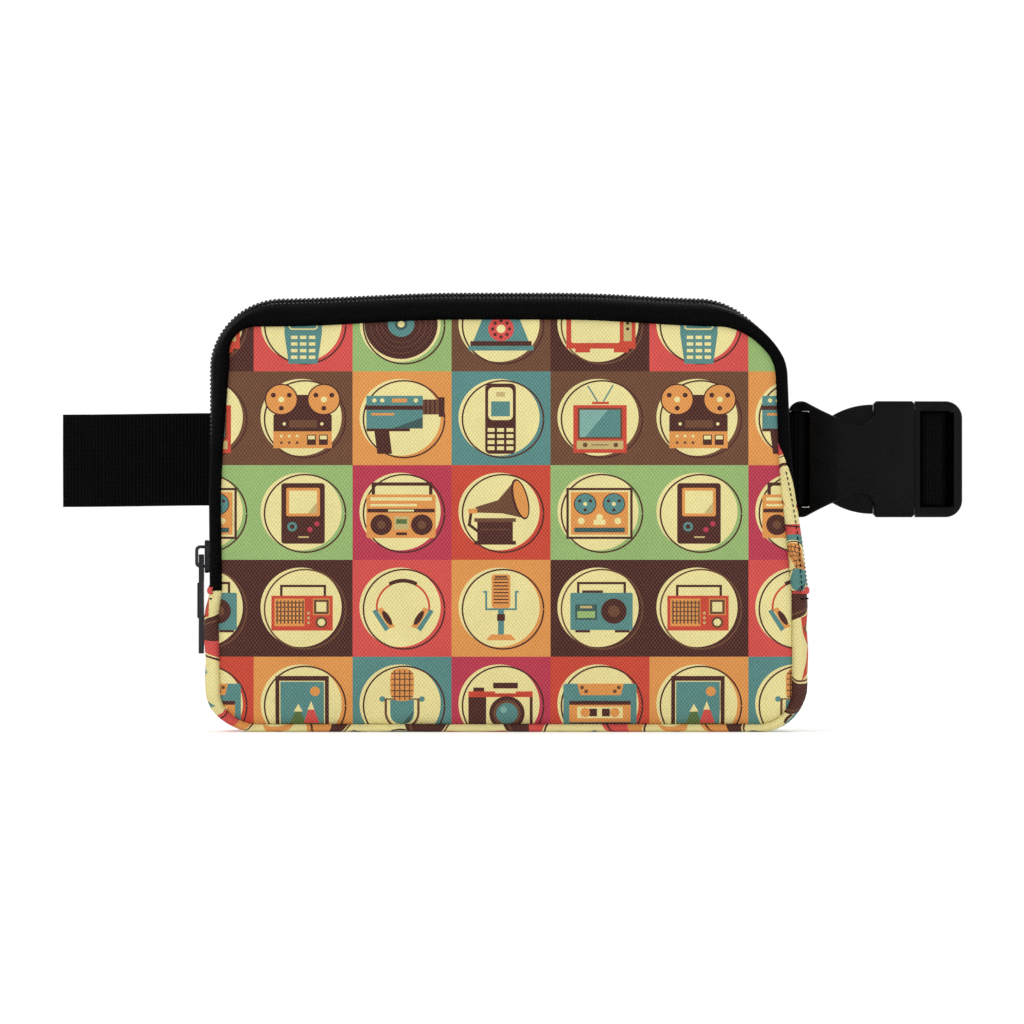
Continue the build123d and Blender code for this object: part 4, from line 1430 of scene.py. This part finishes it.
def sewing():
    """Stitch rows along the gusset's edge and beside the pocket's zip."""
    us, _ = round_steps(U_RIGHT_SEAM + 0.03, U_LEFT_SEAM - 0.03, 1.2)
    line, outward = skin(us, V_GUSSET + 0.42, -0.12)
    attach(stitches("gusset_stitches", line, outward), "pack_body")
    count = 120
    for name, side, off, reach in (("upper", 1, 2.6, 80.5), ("lower", -1, 3.0, 83.0)):
        xs = np.linspace(-reach, reach, count)
        line = np.stack([xs, np.full(count, BACK_Y + 0.22), zip_edge(xs, side) + side * off], axis=1)
        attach(stitches(f"pocket_stitches_{name}", line, repeated((0, 1, 0), count)), "pack_body")


def seam_binding(name, v_middle, nodes, forwards, shift):
    """A bound seam inside the bag: a soft rounded strip round the outline."""
    sides = 8
    us, around = round_steps(0, U_END, 2.5)
    ring = np.linspace(0, 2 * math.pi, sides + 1)[:-1]
    loops = []
    for a in ring:
        points, _ = skin(us, v_middle, 2.3 + 0.8 * math.sin(a))
        points[:, 1] += forwards * 1.1 * math.cos(a) + shift
        loops.append(points)
    faces = ring_faces(len(us), sides, capped=False)
    if forwards < 0:
        faces = [f[::-1] for f in faces]
    flat = np.stack(np.broadcast_arrays(ring * 0.9, around[:, None]), axis=-1).reshape(-1, 2)
    body = np.stack(loops, axis=1).reshape(-1, 3)
    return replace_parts(build(name, body, faces, "binding_tape", flat=flat, weld=0.01), *nodes)


def lining_depth(v):
    """The lining starts close under the zip's tape and then leaves room for the foam."""
    return 0.7 + 1.4 * smooth_step(v, 6.5, 7.8)


def flat_panel(name, outline, step, depth):
    """A plain lining panel cut to an outline. depth gives its place along the bag's depth at each point."""
    low, high = outline.min(0), outline.max(0)
    xs = np.arange(low[0], high[0] + step, step)
    zs = np.arange(low[1], high[1] + step, step)
    spots = np.stack(grid(xs, zs), axis=-1).reshape(-1, 2)
    spots = spots[inside(spots, outline) & (edge_distance(spots, outline) > step * 0.4)]
    points = [Vector(p) for p in (*outline, *spots)]
    result = delaunay_2d_cdt(points, [], [list(range(len(outline)))], 1, 1e-5)
    flat = np.array([list(p) for p in result[0]])
    shaped = np.stack([flat[:, 0], depth(flat), flat[:, 1]], axis=1)
    return build(name, shaped, result[2], "lining_fabric", flat=flat)


def inside_cloth(front_outline):
    """The lining of the front, the gussets and the pocket's inner wall, and the bindings over the seams."""
    rear = 10.4
    lining = skin_sheet("gusset_lining", "lining_fabric", ROUND_TOP, (6.5, rear), lining_depth, 3.0, 1.5, 0.4)
    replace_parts(thicken(lining, LINING), "gusset_lining")
    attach(lining, "pack_body")
    for name, span in (("left", (U_LEFT_SEAM, U_END)), ("right", (0, U_RIGHT_SEAM))):
        part = skin_sheet(f"bottom_lining_{name}", "lining_fabric", span, (2.6, rear), 2.1, 3.0, 3.0, 0.25)
        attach(thicken(part, LINING), "pack_body")
        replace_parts(part, "bottom_lining")

    def wall_depth(p):
        return DIVIDER_Y + 0.35 * np.sin(p[:, 0] * 0.09) * np.sin(p[:, 1] * 0.07)

    wall_outline = skin(np.linspace(0, U_END, 400)[:-1], rear, 2.0)[0][:, [0, 2]]
    wall = flat_panel("pocket_divider", wall_outline, 3.2, wall_depth)
    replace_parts(thicken(wall, WALL, 0.0), "pocket_divider")
    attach(wall, "pack_body")
    low = inset_line(front_outline, 2.6)

    def front_depth(p):
        calm = smooth_step(edge_distance(p, low), 0, 10)
        return FRONT_Y + 1.6 + 0.25 * np.sin(p[:, 0] * 0.1) * np.sin(p[:, 1] * 0.08) * calm

    front_lining = flat_panel("front_lining", low, 3.0, front_depth)
    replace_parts(thicken(front_lining, LINING), *pair("front_lining"))
    follow_flap(front_lining)
    follow_flap(seam_binding("front_binding", 0.6, pair("front_binding"), 1, 1.3))
    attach(seam_binding("back_binding", 12.4, ("back_binding",), -1, -1.2), "pack_body")


# ---------------------------------------------------------------- webbing
def web(name, path, width, thickness, sag=None):
    """Flat webbing along a path seen from above, with rounded edges."""
    path = np.array(path, float)
    along = lengths(path)
    tangent = np.gradient(path, along, axis=0)
    tangent /= np.linalg.norm(tangent, axis=1)[:, None]
    normal = np.stack([-tangent[:, 1], tangent[:, 0]], axis=1)
    half, thin = width / 2, thickness / 2
    ups = np.linspace(-half + 0.5, half - 0.5, 25)
    section = [(thin, z) for z in ups] + [(0.45 * thin, half - 0.1), (-0.45 * thin, half - 0.1)]
    section += [(-thin, z) for z in ups[::-1]] + [(-0.45 * thin, -half + 0.1), (0.45 * thin, -half + 0.1)]
    section = np.array(section)
    n, m = len(path), len(section)
    body = np.zeros((n, m, 3))
    body[..., :2] = path[:, None] + normal[:, None] * section[None, :, 0, None]
    body[..., 2] = STRAP_Z + section[None, :, 1]
    if sag is not None:
        body += sag(body)
    flat = np.zeros((n, m, 2))
    flat[..., 0] = section[None, :, 1] + section[None, :, 0] * 0.3
    flat[..., 1] = along[:, None]
    piece = build(name, body.reshape(-1, 3), ring_faces(n, m), "webbing", flat=flat.reshape(-1, 2))
    return piece, along[-1]


def straight(start, end, count):
    return [tuple(p) for p in np.linspace(start, end, count)]


def webbings():
    """The cut stub on the left, the doubled loop on the right and the end on the adjuster bar."""

    def hang(body):
        """The free end of the stub twists and drops a little."""
        far = smooth_step(-body[..., 0], 90, 143)
        shift = np.zeros_like(body)
        shift[..., 1] = 0.9 * far * np.sin(body[..., 2] * 0.12)
        shift[..., 2] = -0.5 * far
        return shift

    path = straight((-83.4, STRAP_Y), (-143.2, STRAP_Y), 40)[::-1]
    stub, length = web("left_strap", path, WEB_WIDTH, WEB, hang)
    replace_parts(stub, "left_strap", "left_strap_anchor")
    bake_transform(stub)
    path = straight((83.4, STRAP_Y - 0.7), (87.5, STRAP_Y - 0.7), 6)
    path += straight((88.5, STRAP_Y - 0.75), (90.0, STRAP_Y - 1.4), 4)
    path += on_circle(BAR_X + 0.62, STRAP_Y, 2.8, *np.linspace(-122, 122, 30))
    path += straight((90.0, STRAP_Y + 1.4), (88.5, STRAP_Y + 0.75), 4)
    path += straight((87.5, STRAP_Y + 0.7), (83.4, STRAP_Y + 0.7), 6)
    loop, length = web("right_strap", path, 31.0, 1.45)
    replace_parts(loop, "right_strap_anchor", "right_strap_loop")
    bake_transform(loop)
    near, far, out = ADJUSTER_X - 2.3, ADJUSTER_X + 2.3, 1.95
    path = straight((146.1, STRAP_Y + 5.1), (143.8, STRAP_Y + 5.1), 5)
    path += straight((143.0, STRAP_Y + 4.7), (141.0, STRAP_Y + 2.7), 5)
    path += straight((140.2, STRAP_Y + out + 0.15), (near + 0.6, STRAP_Y + out), 10)
    path += on_circle(near + 0.3, STRAP_Y, out, *np.linspace(90, 270, 14))
    path += straight((near + 0.6, STRAP_Y - out), (far - 0.6, STRAP_Y - out), 10)
    path += on_circle(far - 0.3, STRAP_Y, out, *np.linspace(-90, 10, 8))
    wrap, length = web("adjuster_webbing", path, 31.2, WEB)
    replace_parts(wrap, "adjuster_webbing")
    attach(wrap, "buckle_latch")


# ---------------------------------------------------------------- hard parts
def hard_parts():
    """The CAD's own hard pieces, with their finish."""
    metal = ["main_slider", "main_puller", "pocket_slider", "pocket_puller"]
    metal += ["main_zip_stops", "pocket_zip_stops"]
    plastic = ["buckle_socket", "buckle_latch", "latch_arm_upper", "latch_arm_lower"]
    for material, names in (("zip_metal", metal), ("buckle_plastic", plastic)):
        for name in names:
            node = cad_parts[name]
            node.data.materials.clear()
            node.data.materials.append(MATERIALS[material])


# ---------------------------------------------------------------- studio
FRAME_CENTRE = Vector((1.5, 0, 70)) * MM
FRAME_WIDTH = 0.328
FLOOR_SIDES = 96
# Each light's name, place, size and power
LIGHTS = [
    ("key", (-0.8, -1.1, 1.3), 0.5, 9.0),
    ("fill", (1.3, -0.9, 0.5), 0.6, 3.0),
    ("back", (0.3, 1.3, 1.1), 0.6, 7.0),
]


def placed(name, data, location=(0, 0, 0), rotation=(0, 0, 0)):
    """An object of the studio, in metres."""
    obj = bpy.data.objects.new(name, data)
    obj.location = location
    obj.rotation_euler = rotation
    bpy.context.scene.collection.objects.link(obj)
    return obj


def floor():
    """Pale paper that lies flat under the bag and curves up all round."""
    section = [(0.0, 0.0), (0.6, 0.0), (3.0, 0.0), (6.0, 0.0)]
    section += [(6 + 2 * math.sin(a), 2 - 2 * math.cos(a)) for a in np.linspace(0.1, math.pi / 2, 14)]
    section += [(8.0, 3.0)]
    points = []
    for radius, height in section:
        for k in range(FLOOR_SIDES):
            a = 2 * math.pi * k / FLOOR_SIDES
            points.append((radius * math.cos(a), radius * math.sin(a), height - 0.00005))
    faces = [face[::-1] for face in ring_faces(len(section), FLOOR_SIDES, capped=False)]
    look = Look("floor_paper", Specular_IOR_Level=0.1, Emission_Color=(1, 1, 1, 1), Emission_Strength=0.24)
    place = look.add("ShaderNodeTexCoord").outputs["Object"]
    grain = look.noise(place, 3.0, 3.0)
    white = look.colour((1, 1, 1))
    MATERIALS["floor_paper"] = look.finish(
        Base_Color=look.tint(white, look.spread(grain, 0.3, 0.7, 0.88, 0.91)),
        Roughness=look.spread(grain, 0.3, 0.7, 0.85, 0.95),
    )
    mesh = bpy.data.meshes.new("floor")
    mesh.from_pydata(points, [], faces)
    mesh.materials.append(MATERIALS["floor_paper"])
    mesh.shade_smooth()
    placed("floor", mesh)


def studio():
    """The floor, soft light and a long lens straight on."""
    floor()
    scene = bpy.context.scene
    scene.world = bpy.data.worlds.new("studio")
    scene.world.use_nodes = True
    background = scene.world.node_tree.nodes["Background"]
    background.inputs["Color"].default_value = (1, 1, 1, 1)
    background.inputs["Strength"].default_value = 0.78
    for name, place, size, power in LIGHTS:
        light = bpy.data.lights.new(name, "AREA")
        light.size, light.energy = size, power
        towards = FRAME_CENTRE - Vector(place)
        placed(name, light, place, towards.to_track_quat("-Z", "Y").to_euler())
    camera = bpy.data.cameras.new("camera")
    camera.lens = 400
    camera.sensor_width = 36
    camera.clip_end = 50
    distance = camera.lens / camera.sensor_width * FRAME_WIDTH
    scene.camera = placed("camera", camera, FRAME_CENTRE - Vector((0, distance, 0)), (math.pi / 2, 0, 0))
    scene.view_settings.view_transform = "Standard"


# ---------------------------------------------------------------- the pack
front_outline = bag_outline(0.4)
front_panel(front_outline)
back_panels()
gussets()
main_zip()
pocket_zip()
side_cover()
hems()
sewing()
inside_cloth(front_outline)
webbings()
hard_parts()
studio()
